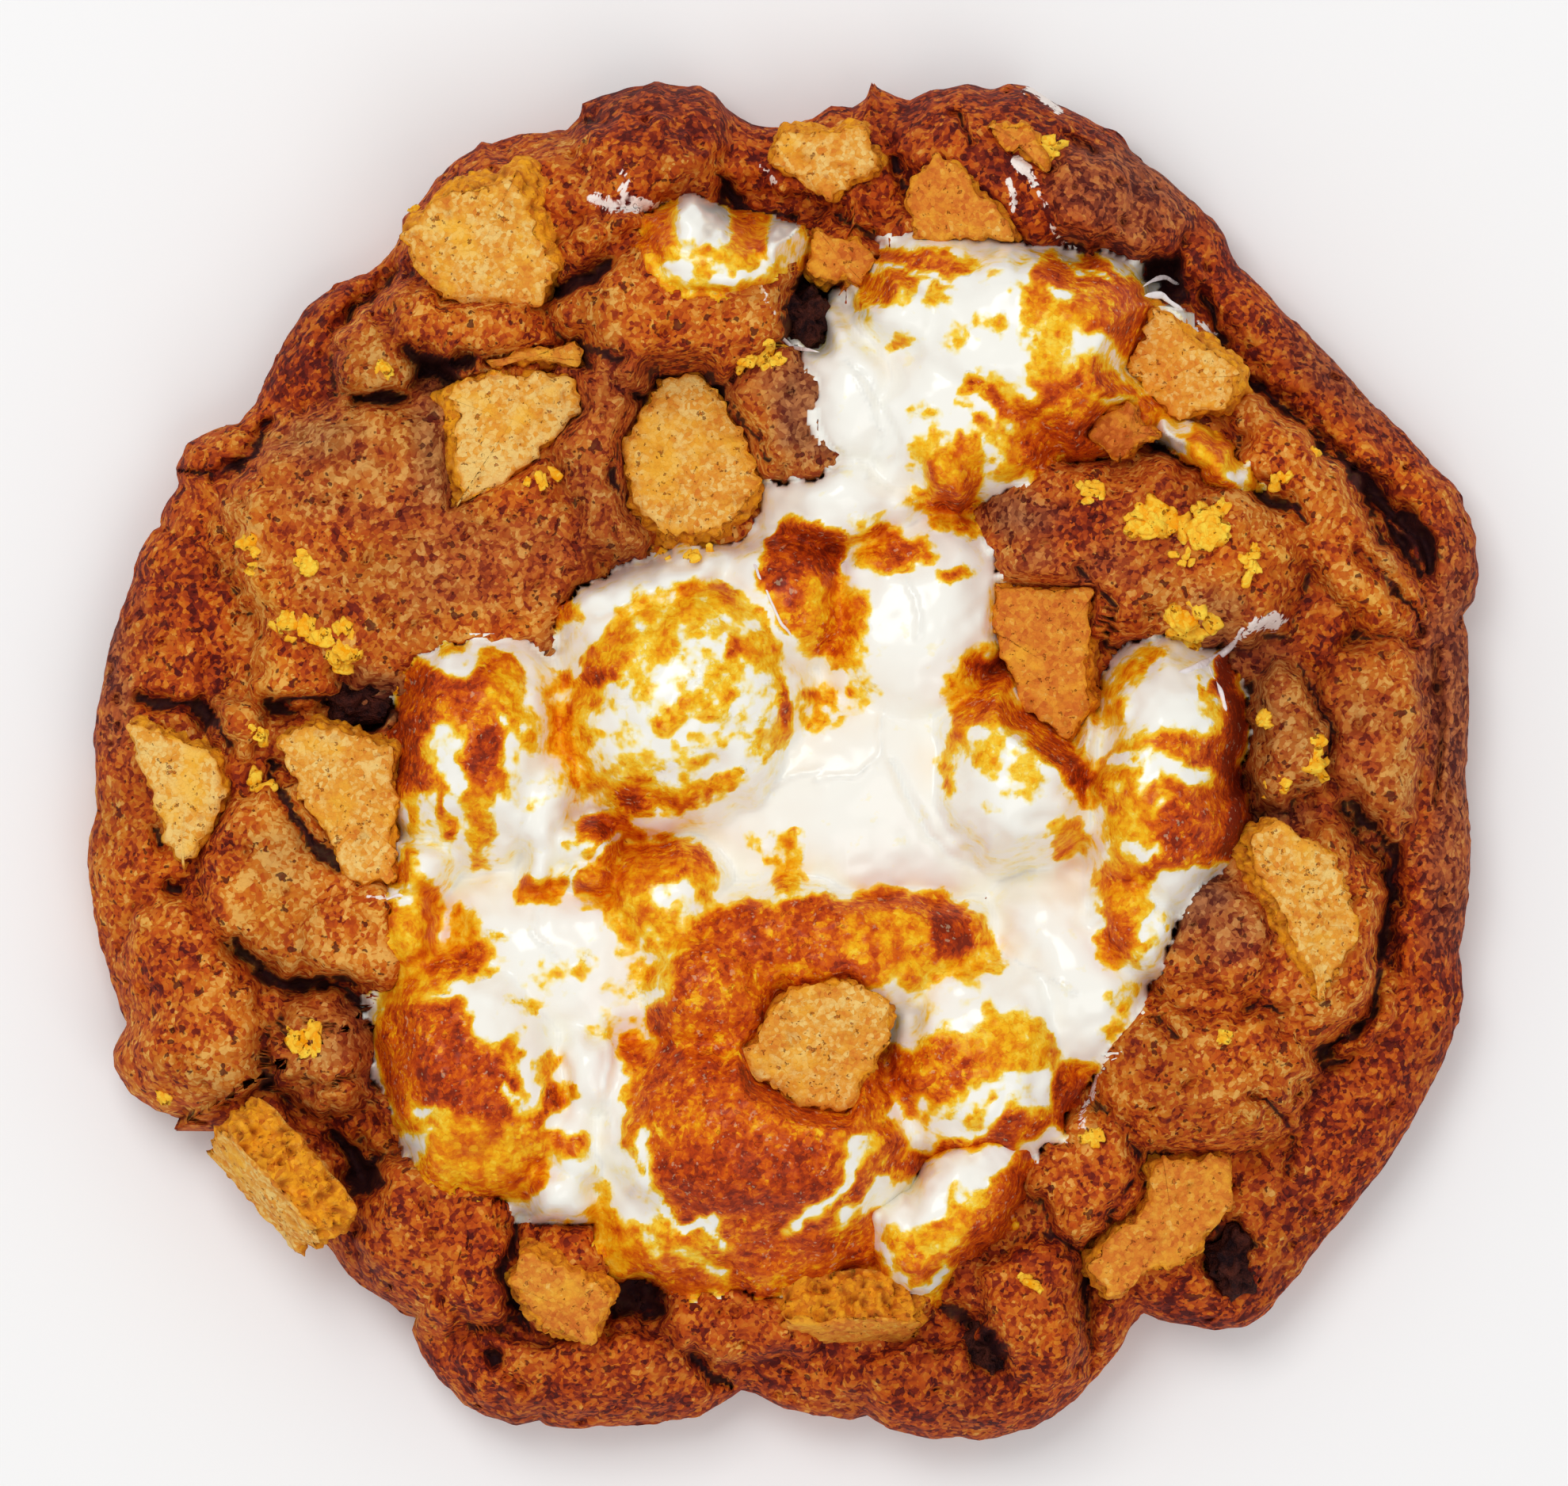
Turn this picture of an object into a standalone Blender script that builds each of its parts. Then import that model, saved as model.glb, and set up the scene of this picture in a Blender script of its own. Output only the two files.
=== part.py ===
"""S'mores cookie: baked dough with marshmallow melted over it and broken graham crackers.

Run with: blender --background --python part.py, or from the text editor.

The cookie rests on z = 0 and is seen in plan with +Y at its back. Tables are in millimetres
in the cookie's own frame, and every mesh is written in metres. The dough and the marshmallow
are height functions: the highest of many squashed lumps, with crevices pressed into them.
"""

import math
from collections import namedtuple

import bmesh
import bpy
import numpy as np
from mathutils import Matrix, Vector

MM = 0.001
GAP = 0.3
WELD = 0.02
CUTTER_DEPTH = 2.0

# Driving dimensions of the dough, in millimetres
RIM_TOP = 10.6
PLATEAU_TOP = 12.4
RIM_WIDTH = 8.0
RIM_STEP_WIDTH = 2.0
WAIST_HEIGHT = 4.2
EDGE_ROUND = 6.5
FOOT_RINGS = ((0.35, 2.3), (1.2, 0.8), (2.5, 0.0))
DOUGH_CELLS = 43
LUMP_FALL = 5.2
DOUGH_ROUGHNESS = 0.45
BUMP_CELL = 4.0
WARP_DEPTH = 0.8
WARP_CELL = 5.5
LUMP_SQUARENESS = 2.6

# Driving dimensions of the toppings, in millimetres
MELT_FLOOR = 11.3
MELT_SINK = 1.5
PUFF_FALL = 7.0
MELT_ROUGHNESS = 0.3
MELT_CELL = 1.9
SMALL_MELT_CELL = 1.3
CRACKER_THICKNESS = 3.8
BROKEN_STEP = 2.1
BROKEN_DEPTH = 0.38
NOWHERE = -30.0

Lump = namedtuple("Lump", "x y half_length half_width turn top")
Crevice = namedtuple("Crevice", "depth half_width route")
Cracker = namedtuple("Cracker", "rise lean towards corners")
Upright = namedtuple("Upright", "x y z length depth turn lean")
Chunk = namedtuple("Chunk", "x y top length width height turn lean")
Crumb = namedtuple("Crumb", "x y half_length half_width turn")

# The edge of the dough in plan, counter-clockwise from the right
OUTLINE = (
    (49.9, 16.0), (49.6, 11.7), (48.9, 10.5), (49.3, 5.0), (49.0, -1.2), (49.4, -6.5),
    (48.6, -13.7), (49.0, -17.0), (47.3, -22.0), (44.0, -28.0), (39.3, -34.0), (34.8, -39.7),
    (31.0, -41.0), (25.9, -39.7), (24.5, -42.0), (20.0, -46.8), (14.1, -49.0), (7.5, -48.1),
    (1.0, -46.9), (-3.0, -45.3), (-6.0, -47.1), (-14.0, -48.1), (-21.0, -47.4), (-24.5, -44.7),
    (-26.7, -41.4), (-26.3, -40.2), (-31.2, -37.0), (-34.0, -33.6), (-37.0, -29.6),
    (-40.4, -26.6), (-42.3, -25.5), (-44.0, -26.5), (-47.0, -23.9), (-48.3, -21.2),
    (-47.2, -19.0), (-48.9, -14.3), (-50.0, -8.0), (-49.5, -3.5), (-49.4, 4.0), (-47.4, 11.3),
    (-46.4, 15.0), (-45.0, 16.7), (-43.5, 19.8), (-43.0, 22.8), (-39.4, 24.2), (-36.1, 29.8),
    (-32.2, 34.2), (-28.3, 36.5), (-25.8, 40.6), (-21.7, 44.6), (-15.6, 45.3), (-14.5, 47.3),
    (-9.2, 48.9), (-5.0, 48.0), (-1.3, 45.5), (3.4, 47.1), (8.0, 47.8), (13.0, 48.7),
    (17.5, 48.6), (23.8, 45.2), (29.0, 40.5), (31.7, 37.9), (32.7, 35.5), (38.0, 30.5),
    (43.6, 24.5), (48.2, 19.9),
)

# Lumps of dough: place, half sizes, turn in degrees and height of the top
DOUGH_LUMPS = (
    Lump(-26.0, 15.5, 13.8, 10.8, 0, 17.4),
    Lump(-34.5, 7.2, 4.2, 3.6, 0, 15.6),
    Lump(-13.2, 22.5, 3.8, 8.6, 8, 17.8),
    Lump(-8.0, 33.0, 8.9, 6.3, -5, 20.2),
    Lump(-22.5, 31.3, 6.4, 4.0, 0, 16.8),
    Lump(-29.5, 28.8, 3.2, 3.6, 30, 15.2),
    Lump(-12.5, 41.5, 8.6, 5.3, 10, 15.6),
    Lump(-22.5, 38.5, 6.6, 5.6, 0, 14.4),
    Lump(-9.0, 45.6, 5.8, 3.6, 0, 13.4),
    Lump(0.8, 24.5, 5.8, 4.6, -15, 18.4),
    Lump(19.5, 42.5, 12.2, 6.2, -18, 14.6),
    Lump(22.5, 40.8, 4.2, 3.8, 0, 16.0),
    Lump(38.5, 17.5, 10.4, 3.6, -57, 15.6),
    Lump(25.5, 15.2, 12.0, 6.6, -10, 18.8),
    Lump(42.5, 1.8, 4.2, 7.8, 0, 14.6),
    Lump(36.2, 2.2, 2.8, 5.8, 0, 17.0),
    Lump(34.8, -12.8, 9.2, 9.4, 0, 16.2),
    Lump(31.4, -12.0, 4.8, 4.6, 0, 18.0),
    Lump(30.0, -22.3, 8.0, 6.4, 0, 18.0),
    Lump(21.8, -30.0, 5.2, 4.4, 40, 16.0),
    Lump(18.0, -39.8, 4.4, 6.2, 0, 15.0),
    Lump(13.0, -45.0, 10.4, 4.0, 0, 12.8),
    Lump(-15.0, -44.4, 11.0, 4.0, 0, 12.6),
    Lump(-24.6, -34.0, 5.8, 8.0, 8, 15.6),
    Lump(-15.6, -37.0, 4.4, 3.8, 0, 14.4),
    Lump(-42.3, -17.5, 5.6, 8.0, 10, 14.2),
    Lump(-45.0, -22.8, 3.6, 3.8, 0, 12.8),
    Lump(-34.6, -9.0, 7.6, 7.8, 0, 15.6),
    Lump(-33.0, -20.7, 4.8, 4.6, 0, 14.6),
    Lump(-38.5, 2.6, 2.4, 3.0, 0, 15.2),
    Lump(-3.0, -40.4, 6.4, 3.8, 0, 13.2),
)

# Lumps that together make the one melted mass of marshmallow
MELT_LUMPS = (
    Lump(-21.8, 0.8, 6.2, 8.6, 0, 22.0),
    Lump(-7.4, 4.6, 8.0, 8.5, -10, 24.4),
    Lump(15.6, 30.6, 11.4, 6.8, -12, 23.0),
    Lump(12.4, 25.4, 7.8, 7.2, 0, 21.4),
    Lump(12.0, 20.8, 2.4, 3.0, 0, 21.8),
    Lump(16.3, -0.8, 6.0, 6.3, 0, 23.4),
    Lump(28.0, -1.6, 5.8, 8.8, -8, 24.0),
    Lump(-2.0, -26.8, 10.2, 8.3, 0, 24.4),
    Lump(-3.0, -30.0, 11.6, 8.0, 0, 20.0),
    Lump(3.0, -13.4, 12.6, 4.8, -3, 21.0),
    Lump(-5.0, -16.4, 5.6, 6.0, 0, 22.2),
    Lump(-22.2, -22.4, 6.0, 9.4, 12, 21.4),
    Lump(5.0, -2.4, 13.4, 10.0, 0, 18.2),
    Lump(8.6, 9.4, 7.4, 9.4, -10, 19.4),
    Lump(4.2, 18.8, 6.6, 3.5, 10, 20.0),
    Lump(-16.0, -14.6, 10.0, 8.0, -10, 18.4),
    Lump(20.4, -14.8, 6.2, 8.8, 12, 18.4),
    Lump(14.0, -21.8, 7.2, 8.0, 0, 20.2),
    Lump(-0.6, 11.6, 5.2, 5.0, 0, 20.2),
    Lump(-9.6, 12.3, 7.0, 2.3, 22, 21.2),
    Lump(-29.3, -12.6, 4.4, 3.4, -10, 17.6),
    Lump(-16.2, -31.0, 2.8, 3.2, 0, 18.4),
    Lump(-8.2, -10.4, 5.2, 5.2, 0, 20.2),
    Lump(25.0, -11.2, 3.0, 4.8, 20, 20.4),
    Lump(5.0, 26.0, 4.2, 6.4, 20, 20.2),
    Lump(-11.2, -25.0, 3.4, 6.0, 0, 18.8),
)

# Marshmallows that lie apart from the melted mass
FRONT_LUMPS = (
    Lump(12.4, -32.0, 7.4, 3.6, 52, 19.0),
    Lump(9.6, -34.4, 3.8, 4.0, 0, 18.2),
)
BACK_LUMPS = (
    Lump(-5.2, 36.4, 5.4, 3.1, -8, 22.6),
    Lump(-6.0, 38.6, 1.9, 2.0, 0, 23.2),
    Lump(-0.4, 36.8, 2.2, 2.2, 0, 21.4),
)
SLIVER_LUMPS = (
    Lump(29.8, 22.2, 4.6, 1.9, -36, 19.8),
)

# Crevices between the lumps: depth, half width and route
CREVICES = (
    Crevice(2.6, 1.5, ((20, 37), (26, 36), (30, 33), (34, 27), (40, 21), (44.5, 16.5))),
    Crevice(2.4, 1.4, ((41, -3.5), (43.6, -9), (43, -15), (39.5, -21))),
    Crevice(2.4, 1.4, ((-40.5, 17), (-39, 11), (-37, 4))),
    Crevice(2.2, 1.3, ((-39.5, -13), (-36, -16.2), (-31, -17), (-29, -23))),
    Crevice(2.6, 1.4, ((-17, 34), (-12.5, 36), (-5, 41), (2, 40))),
    Crevice(2.2, 1.4, ((-31, 32), (-28, 35.5), (-24, 35.5))),
    Crevice(2.6, 1.4, ((-35.6, -24), (-32, -27.4), (-29.6, -32))),
    Crevice(2.2, 1.2, ((33.4, 5), (33.4, -4))),
    Crevice(2.4, 1.3, ((23, -34.5), (21, -38.5), (22, -43))),
)

# Deep holes between the lumps: place, half sizes, turn and depth
HOLES = (
    Lump(1.8, 32.0, 1.9, 2.3, 0, 5.0),
    Lump(-10.6, -38.6, 2.2, 1.7, 0, 4.5),
    Lump(32.0, -35.8, 2.6, 2.6, 0, 4.0),
    Lump(14.4, -42.2, 1.8, 2.6, 30, 3.5),
    Lump(45.0, 15.4, 2.3, 3.0, 0, 3.5),
    Lump(-30.4, 4.6, 2.4, 1.9, 0, 3.5),
    Lump(-24.6, 28.0, 2.4, 1.3, 0, 3.0),
    Lump(27.4, 34.2, 1.9, 1.6, 0, 3.5),
)

# Broken crackers: rise over the surface, lean and its direction in degrees, corners in plan
CRACKERS = (
    Cracker(2.3, 13, 225, ((-27.1, 38.0), (-23.9, 40.9), (-18.8, 42.6), (-15.7, 35.9),
                           (-17.5, 33.2), (-24.5, 33.1))),
    Cracker(2.2, 9, 0, ((-24.8, 26.2), (-21.8, 27.8), (-15.2, 27.6), (-14.7, 25.2),
                        (-18.6, 21.0), (-23.9, 18.1))),
    Cracker(0.7, 6, 90, ((-21.6, 28.6), (-14.8, 30.2), (-14.2, 28.3), (-20.9, 28.1))),
    Cracker(2.4, 8, 90, ((-9.0, 27.4), (-6.0, 27.6), (-2.8, 23.2), (-1.6, 19.5), (-4.5, 15.9),
                         (-8.7, 15.1), (-11.1, 18.0), (-11.4, 23.0))),
    Cracker(2.2, 8, 240, ((0.0, 45.2), (5.8, 45.5), (7.2, 42.8), (3.7, 40.1), (-1.2, 43.0))),
    Cracker(2.2, 8, 200, ((11.0, 43.7), (15.9, 39.9), (16.9, 37.4), (9.3, 37.6), (9.1, 41.2))),
    Cracker(1.0, 6, 90, ((14.3, 45.7), (18.0, 45.6), (19.0, 42.2), (16.5, 43.3))),
    Cracker(1.6, 10, 240, ((26.5, 32.9), (33.2, 28.0), (32.2, 25.4), (28.3, 24.5),
                           (24.7, 28.2))),
    Cracker(1.4, 8, 270, ((22.2, 23.6), (25.5, 26.0), (27.1, 23.4), (24.0, 22.0))),
    Cracker(1.6, 8, 180, ((15.4, 12.7), (22.2, 12.2), (22.1, 3.8), (20.8, 1.3), (17.6, 3.6),
                          (15.2, 9.0))),
    Cracker(2.2, 14, 10, ((32.6, -6.0), (35.0, -4.2), (39.8, -7.0), (40.9, -12.5),
                          (38.1, -17.8), (34.4, -10.5))),
    Cracker(2.0, 8, 315, ((26.8, -28.2), (32.0, -28.2), (32.6, -31.8), (30.0, -33.4),
                          (29.6, -35.3), (23.4, -38.5), (21.6, -36.0), (25.7, -31.5))),
    Cracker(1.8, 16, 250, ((-19.8, -37.2), (-18.3, -34.9), (-12.2, -37.6), (-13.5, -42.0),
                           (-17.5, -40.7))),
    Cracker(1.8, 6, 270, ((0.5, -16.2), (4.6, -15.2), (7.4, -17.4), (7.0, -21.0), (4.5, -25.2),
                          (1.2, -24.6), (-1.9, -22.8), (-2.8, -20.4))),
    Cracker(2.2, 8, 180, ((-36.3, 1.4), (-33.5, 3.0), (-27.7, 1.2), (-27.7, -8.9),
                          (-30.5, -8.7), (-34.6, -3.0))),
    Cracker(2.0, 8, 200, ((-46.9, 2.9), (-40.5, 1.2), (-39.4, -2.2), (-42.8, -8.0),
                          (-44.2, -6.0))),
    Cracker(1.6, 8, 60, ((1.6, 34.6), (5.4, 34.0), (6.0, 37.4), (2.4, 38.0))),
)

# Crackers on edge, their tops leaning inwards: centre, length, depth, turn and lean
UPRIGHT_CRACKERS = (
    Upright(-36.1, -30.0, 10.6, 10.6, 8.0, -49, 73),
    Upright(4.2, -39.7, 10.9, 10.8, 8.0, 0, 71),
)

# Chocolate chunks in the holes: place, top, sizes, turn and lean
CHUNKS = (
    Chunk(1.5, 31.4, 14.4, 3.4, 4.2, 4.0, 12, 8),
    Chunk(33.0, -36.4, 11.0, 3.8, 4.2, 4.0, 30, 10),
    Chunk(14.4, -42.2, 12.4, 3.4, 4.8, 4.0, -30, 12),
    Chunk(-30.4, 4.6, 14.0, 4.4, 3.6, 4.0, 5, 8),
)

# Loose crumbs of cracker stuck to the dough
CRUMBS = (
    Crumb(-34.4, 13.8, 0.9, 1.1, 0), Crumb(-34.5, 9.3, 2.6, 1.0, 0), Crumb(-32.0, 8.0, 1.3, 1.8, 0),
    Crumb(-37.7, 2.0, 0.9, 1.0, 0), Crumb(-34.2, -20.0, 1.1, 1.6, 0), Crumb(26.0, 17.2, 1.8, 1.5, 0),
    Crumb(30.3, 16.8, 1.8, 1.8, 40), Crumb(33.0, 14.5, 0.9, 1.6, 0), Crumb(28.8, 14.3, 0.8, 1.1, 0),
    Crumb(29.2, 9.5, 1.8, 1.7, 0), Crumb(21.7, 19.2, 1.1, 0.9, 0), Crumb(38.0, 0.0, 1.1, 1.4, 0),
    Crumb(35.5, -2.2, 0.8, 1.0, 0), Crumb(35.0, 20.2, 1.1, 0.7, 0), Crumb(-0.8, 30.0, 0.9, 1.8, 0),
    Crumb(-26.2, 39.4, 1.3, 0.8, 30), Crumb(-2.0, 28.8, 1.4, 0.8, 0),
)
CRUMB_HEIGHT = 1.5
CRUMB_SWELL = 0.22
CHUNK_BEVEL = 0.6
CHUNK_LEAN_TOWARDS = 40

# Colour, roughness of each material
DOUGH = ("baked_dough", (0.36, 0.12, 0.035, 1.0), 0.75)
MARSHMALLOW = ("toasted_marshmallow", (0.86, 0.70, 0.45, 1.0), 0.45)
CRACKER = ("graham_cracker", (0.75, 0.36, 0.07, 1.0), 0.85)
CHOCOLATE = ("chocolate", (0.07, 0.02, 0.012, 1.0), 0.4)


def lattice_value(column, row, seed):
    """Pseudo-random value from 0 to 1 for each point of a whole-number lattice."""
    mixed = (column * 374761393 + row * 668265263 + seed * 974711) & 0xFFFFFFFF
    mixed = ((mixed ^ (mixed >> 13)) * 1274126177) & 0xFFFFFFFF
    return ((mixed ^ (mixed >> 16)) & 0xFFFF) / 65535.0


def noise(x, y, cell, seed):
    """Smooth unevenness from -1 to 1 whose bumps lie about a cell apart."""
    column, row = np.floor(x / cell).astype(np.int64), np.floor(y / cell).astype(np.int64)
    across, along = x / cell - column, y / cell - row
    across, along = across * across * (3 - 2 * across), along * along * (3 - 2 * along)
    near = lattice_value(column, row, seed) * (1 - across)
    near = near + lattice_value(column + 1, row, seed) * across
    far = lattice_value(column, row + 1, seed) * (1 - across)
    far = far + lattice_value(column + 1, row + 1, seed) * across
    return 2 * (near * (1 - along) + far * along) - 1


def edge_radius(angle):
    """Distance of the dough's edge from the centre, at angles in radians."""
    points = np.array(OUTLINE)
    bearings = np.arctan2(points[:, 1], points[:, 0])
    order = np.argsort(bearings)
    return np.interp(angle, bearings[order], np.hypot(*points[order].T), period=2 * math.pi)


def lump_reach(x, y, lump):
    """How far points lie from a lump's middle: 1 on its outline."""
    turn = math.radians(lump.turn)
    along = (x - lump.x) * math.cos(turn) + (y - lump.y) * math.sin(turn)
    across = (y - lump.y) * math.cos(turn) - (x - lump.x) * math.sin(turn)
    along, across = np.abs(along / lump.half_length), np.abs(across / lump.half_width)
    return (along ** LUMP_SQUARENESS + across ** LUMP_SQUARENESS) ** (1 / LUMP_SQUARENESS)


def route_distance(x, y, route):
    """Distance of points from a route of straight stretches."""
    nearest = np.full(np.shape(x), np.inf)
    for (x0, y0), (x1, y1) in zip(route, route[1:]):
        length2 = (x1 - x0) ** 2 + (y1 - y0) ** 2
        share = np.clip(((x - x0) * (x1 - x0) + (y - y0) * (y1 - y0)) / length2, 0, 1)
        nearest = np.minimum(nearest, np.hypot(x - x0 - share * (x1 - x0), y - y0 - share * (y1 - y0)))
    return nearest


def warped(x, y):
    """Points pushed about a little, so that lumps get uneven outlines."""
    return x + WARP_DEPTH * noise(x, y, WARP_CELL, 11), y + WARP_DEPTH * noise(x, y, WARP_CELL, 12)


def melt_height(x, y, lumps, growth=0.0):
    """Upper side of a marshmallow: the highest of its lumps, and far below where there is none."""
    x, y = warped(x, y)
    height = np.full(np.shape(x), NOWHERE)
    for lump in lumps:
        grown = lump._replace(half_length=lump.half_length + growth,
                              half_width=lump.half_width + growth, top=lump.top + growth)
        height = np.maximum(height, grown.top - PUFF_FALL * lump_reach(x, y, grown) ** 3)
    return height + MELT_ROUGHNESS * noise(x, y, BUMP_CELL, 21)


def bare_dough_height(x, y):
    """Upper side of the dough before the marshmallow presses it down."""
    inwards = edge_radius(np.arctan2(y, x)) - np.hypot(x, y)
    step = np.clip((inwards - RIM_WIDTH) / RIM_STEP_WIDTH, 0, 1)
    height = RIM_TOP + (PLATEAU_TOP - RIM_TOP) * step * step * (3 - 2 * step)
    lump_x, lump_y = warped(x, y)
    for lump in DOUGH_LUMPS:
        height = np.maximum(height, lump.top - LUMP_FALL * lump_reach(lump_x, lump_y, lump) ** 4)
    for crevice in CREVICES:
        distance = route_distance(x, y, crevice.route)
        height = height - crevice.depth * np.exp(-(distance / crevice.half_width) ** 2)
    for hole in HOLES:
        height = height - hole.top * np.exp(-lump_reach(x, y, hole) ** 4)
    return height + DOUGH_ROUGHNESS * (noise(x, y, BUMP_CELL, 31) + 0.5 * noise(x, y, BUMP_CELL / 2, 32))


def dough_height(x, y):
    """Upper side of the dough: flat under the marshmallow and rounded off at the edge."""
    height = bare_dough_height(x, y)
    cover = np.clip(melt_height(x, y, MELT_LUMPS) - height, 0, None)
    sunk = np.maximum(np.minimum(height, MELT_FLOOR), height - MELT_SINK * cover)
    height = np.where(cover > 0, sunk, height)
    inwards = edge_radius(np.arctan2(y, x)) - np.hypot(x, y)
    outer = np.clip(1 - inwards / EDGE_ROUND, 0, 1)
    return WAIST_HEIGHT + (height - WAIST_HEIGHT) * np.sqrt(1 - outer * outer)


def surface_height(x, y):
    """Highest of the dough and the marshmallow, which the crackers lie in."""
    x, y = np.atleast_1d(x).astype(float), np.atleast_1d(y).astype(float)
    height = dough_height(x, y)
    for lumps in (MELT_LUMPS, FRONT_LUMPS, BACK_LUMPS, SLIVER_LUMPS):
        height = np.maximum(height, melt_height(x, y, lumps))
    return height


def new_collection(name):
    """A collection in the scene."""
    collection = bpy.data.collections.new(name)
    bpy.context.scene.collection.children.link(collection)
    return collection


def new_material(settings):
    """A Principled material from its name, colour and roughness."""
    name, colour, roughness = settings
    material = bpy.data.materials.new(name)
    material.use_nodes = True
    shader = material.node_tree.nodes["Principled BSDF"]
    shader.inputs["Base Color"].default_value = colour
    shader.inputs["Roughness"].default_value = roughness
    shader.inputs["Metallic"].default_value = 0.0
    material.diffuse_color = colour
    return material


def object_from(bm, name, collection, material=None):
    """An object that holds a finished mesh, with its faces pointing out."""
    bmesh.ops.recalc_face_normals(bm, faces=bm.faces)
    mesh = bpy.data.meshes.new(name)
    bm.to_mesh(mesh)
    bm.free()
    if material:
        mesh.materials.append(material)
    obj = bpy.data.objects.new(name, mesh)
    collection.objects.link(obj)
    return obj


def move_points(bm, place):
    """Puts every vertex where a function of whole arrays says, given and returned in millimetres."""
    points = np.array([v.co for v in bm.verts])
    for vertex, point in zip(bm.verts, np.stack(place(points[:, 0], points[:, 1]), axis=1)):
        vertex.co = point * MM


def close_below(bm, rings):
    """Carries a sheet's open edge down through rings, each a function of a point, and fills it."""
    border = [edge for edge in bm.edges if edge.is_boundary]
    for ring in rings:
        made = bmesh.ops.extrude_edge_only(bm, edges=border)["geom"]
        for vertex in (item for item in made if isinstance(item, bmesh.types.BMVert)):
            vertex.co = ring(vertex.co)
        border = [item for item in made if isinstance(item, bmesh.types.BMEdge) and item.is_boundary]
    bmesh.ops.contextual_create(bm, geom=border)


def settle_faces(bm):
    """Joins neighbouring faces that lie in one plane, then fixes how all the rest are split."""
    bmesh.ops.dissolve_limit(bm, angle_limit=math.radians(0.05), verts=bm.verts, edges=bm.edges)
    bmesh.ops.triangulate(bm, faces=bm.faces)


def settle(obj):
    """Applies an object's modifiers and keeps its largest body."""
    depsgraph = bpy.context.evaluated_depsgraph_get()
    mesh = bpy.data.meshes.new_from_object(obj.evaluated_get(depsgraph))
    obj.modifiers.clear()
    obj.data = mesh
    bm = bmesh.new()
    bm.from_mesh(mesh)
    bmesh.ops.remove_doubles(bm, verts=bm.verts, dist=WELD * MM)
    scraps = [face for body in separate_bodies(bm)[1:] for face in body]
    bmesh.ops.delete(bm, geom=scraps, context="FACES")
    bm.to_mesh(mesh)
    bm.free()


def separate_bodies(bm):
    """Groups of faces that are joined edge to edge, the largest first."""
    unseen, bodies = set(bm.faces), []
    while unseen:
        stack, body = [unseen.pop()], []
        while stack:
            face = stack.pop()
            body.append(face)
            for other in (near for edge in face.edges for near in edge.link_faces):
                if other in unseen:
                    unseen.remove(other)
                    stack.append(other)
        bodies.append(body)
    return sorted(bodies, key=len, reverse=True)


def combine(obj, other, operation):
    """One applied Boolean with another object or a collection, exact ones lose the thin edges."""
    modifier = obj.modifiers.new(operation.lower(), "BOOLEAN")
    modifier.operation = operation
    modifier.solver = "MANIFOLD"
    if isinstance(other, bpy.types.Collection):
        modifier.operand_type = "COLLECTION"
        modifier.collection = other
    else:
        modifier.object = other
    settle(obj)


def remove_object(obj):
    """Deletes an object and its mesh."""
    mesh = obj.data
    bpy.data.objects.remove(obj, do_unlink=True)
    bpy.data.meshes.remove(mesh)


def hide_cutter(obj):
    """Marks an object as a cutter."""
    obj.hide_render = True
    obj.display_type = "WIRE"
    return obj


def disc_from_square(u, v):
    """Share of the radius and angle for points of a square, ring for ring."""
    share = np.maximum(np.abs(u), np.abs(v))
    safe = np.where(share > 0, share, 1)
    wide = np.abs(u) >= np.abs(v)
    angle = np.where(wide, v / safe, 2 - u / safe) * math.pi / 4
    angle = np.where(wide & (u < 0), math.pi - v / safe * math.pi / 4, angle)
    angle = np.where(~wide & (v < 0), (6 + u / safe) * math.pi / 4, angle)
    return share, angle


def dough_sheet(u, v):
    """The dough's upper side, from a square grid of -1 to 1."""
    share, angle = disc_from_square(u, v)
    radius = edge_radius(angle) * (1 - (1 - share) ** 1.25)
    x, y = radius * np.cos(angle), radius * np.sin(angle)
    return x, y, dough_height(x, y)


def foot_ring(inset, height):
    """Function that moves a point of the edge inwards and down to a ring of the foot."""
    def place(point):
        angle = math.atan2(point.y, point.x)
        radius = float(edge_radius(angle)) - inset
        return Vector((radius * math.cos(angle), radius * math.sin(angle), height)) * MM
    return place


def make_dough(collection, material):
    """The dough: a domed sheet carried down its lobed side to a flat underside."""
    bm = bmesh.new()
    bmesh.ops.create_grid(bm, x_segments=DOUGH_CELLS, y_segments=DOUGH_CELLS, size=1.0)
    move_points(bm, dough_sheet)
    close_below(bm, [foot_ring(inset, height) for inset, height in FOOT_RINGS])
    settle_faces(bm)
    return object_from(bm, "dough", collection, material)


def make_crumbs(collection):
    """Small squashed pieces of cracker, half sunk in the dough."""
    for number, crumb in enumerate(CRUMBS, 1):
        bm = bmesh.new()
        bmesh.ops.create_icosphere(bm, subdivisions=1, radius=1.15)
        points = np.array([v.co for v in bm.verts])
        uneven = 1 + CRUMB_SWELL * noise(points[:, 0] + number * 7, points[:, 1] + points[:, 2], 0.6, 41)
        for vertex, swell in zip(bm.verts, uneven):
            vertex.co = vertex.co * swell
        size = Matrix.Diagonal((crumb.half_length, crumb.half_width, 0.7 * CRUMB_HEIGHT, 1))
        height = float(surface_height(crumb.x, crumb.y)[0]) + 0.25 * CRUMB_HEIGHT
        place = Matrix.Translation((crumb.x, crumb.y, height))
        spin = Matrix.Rotation(math.radians(crumb.turn), 4, "Z")
        bm.transform(Matrix.Scale(MM, 4) @ place @ spin @ size)
        object_from(bm, f"crumb_{number:02d}", collection)


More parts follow.
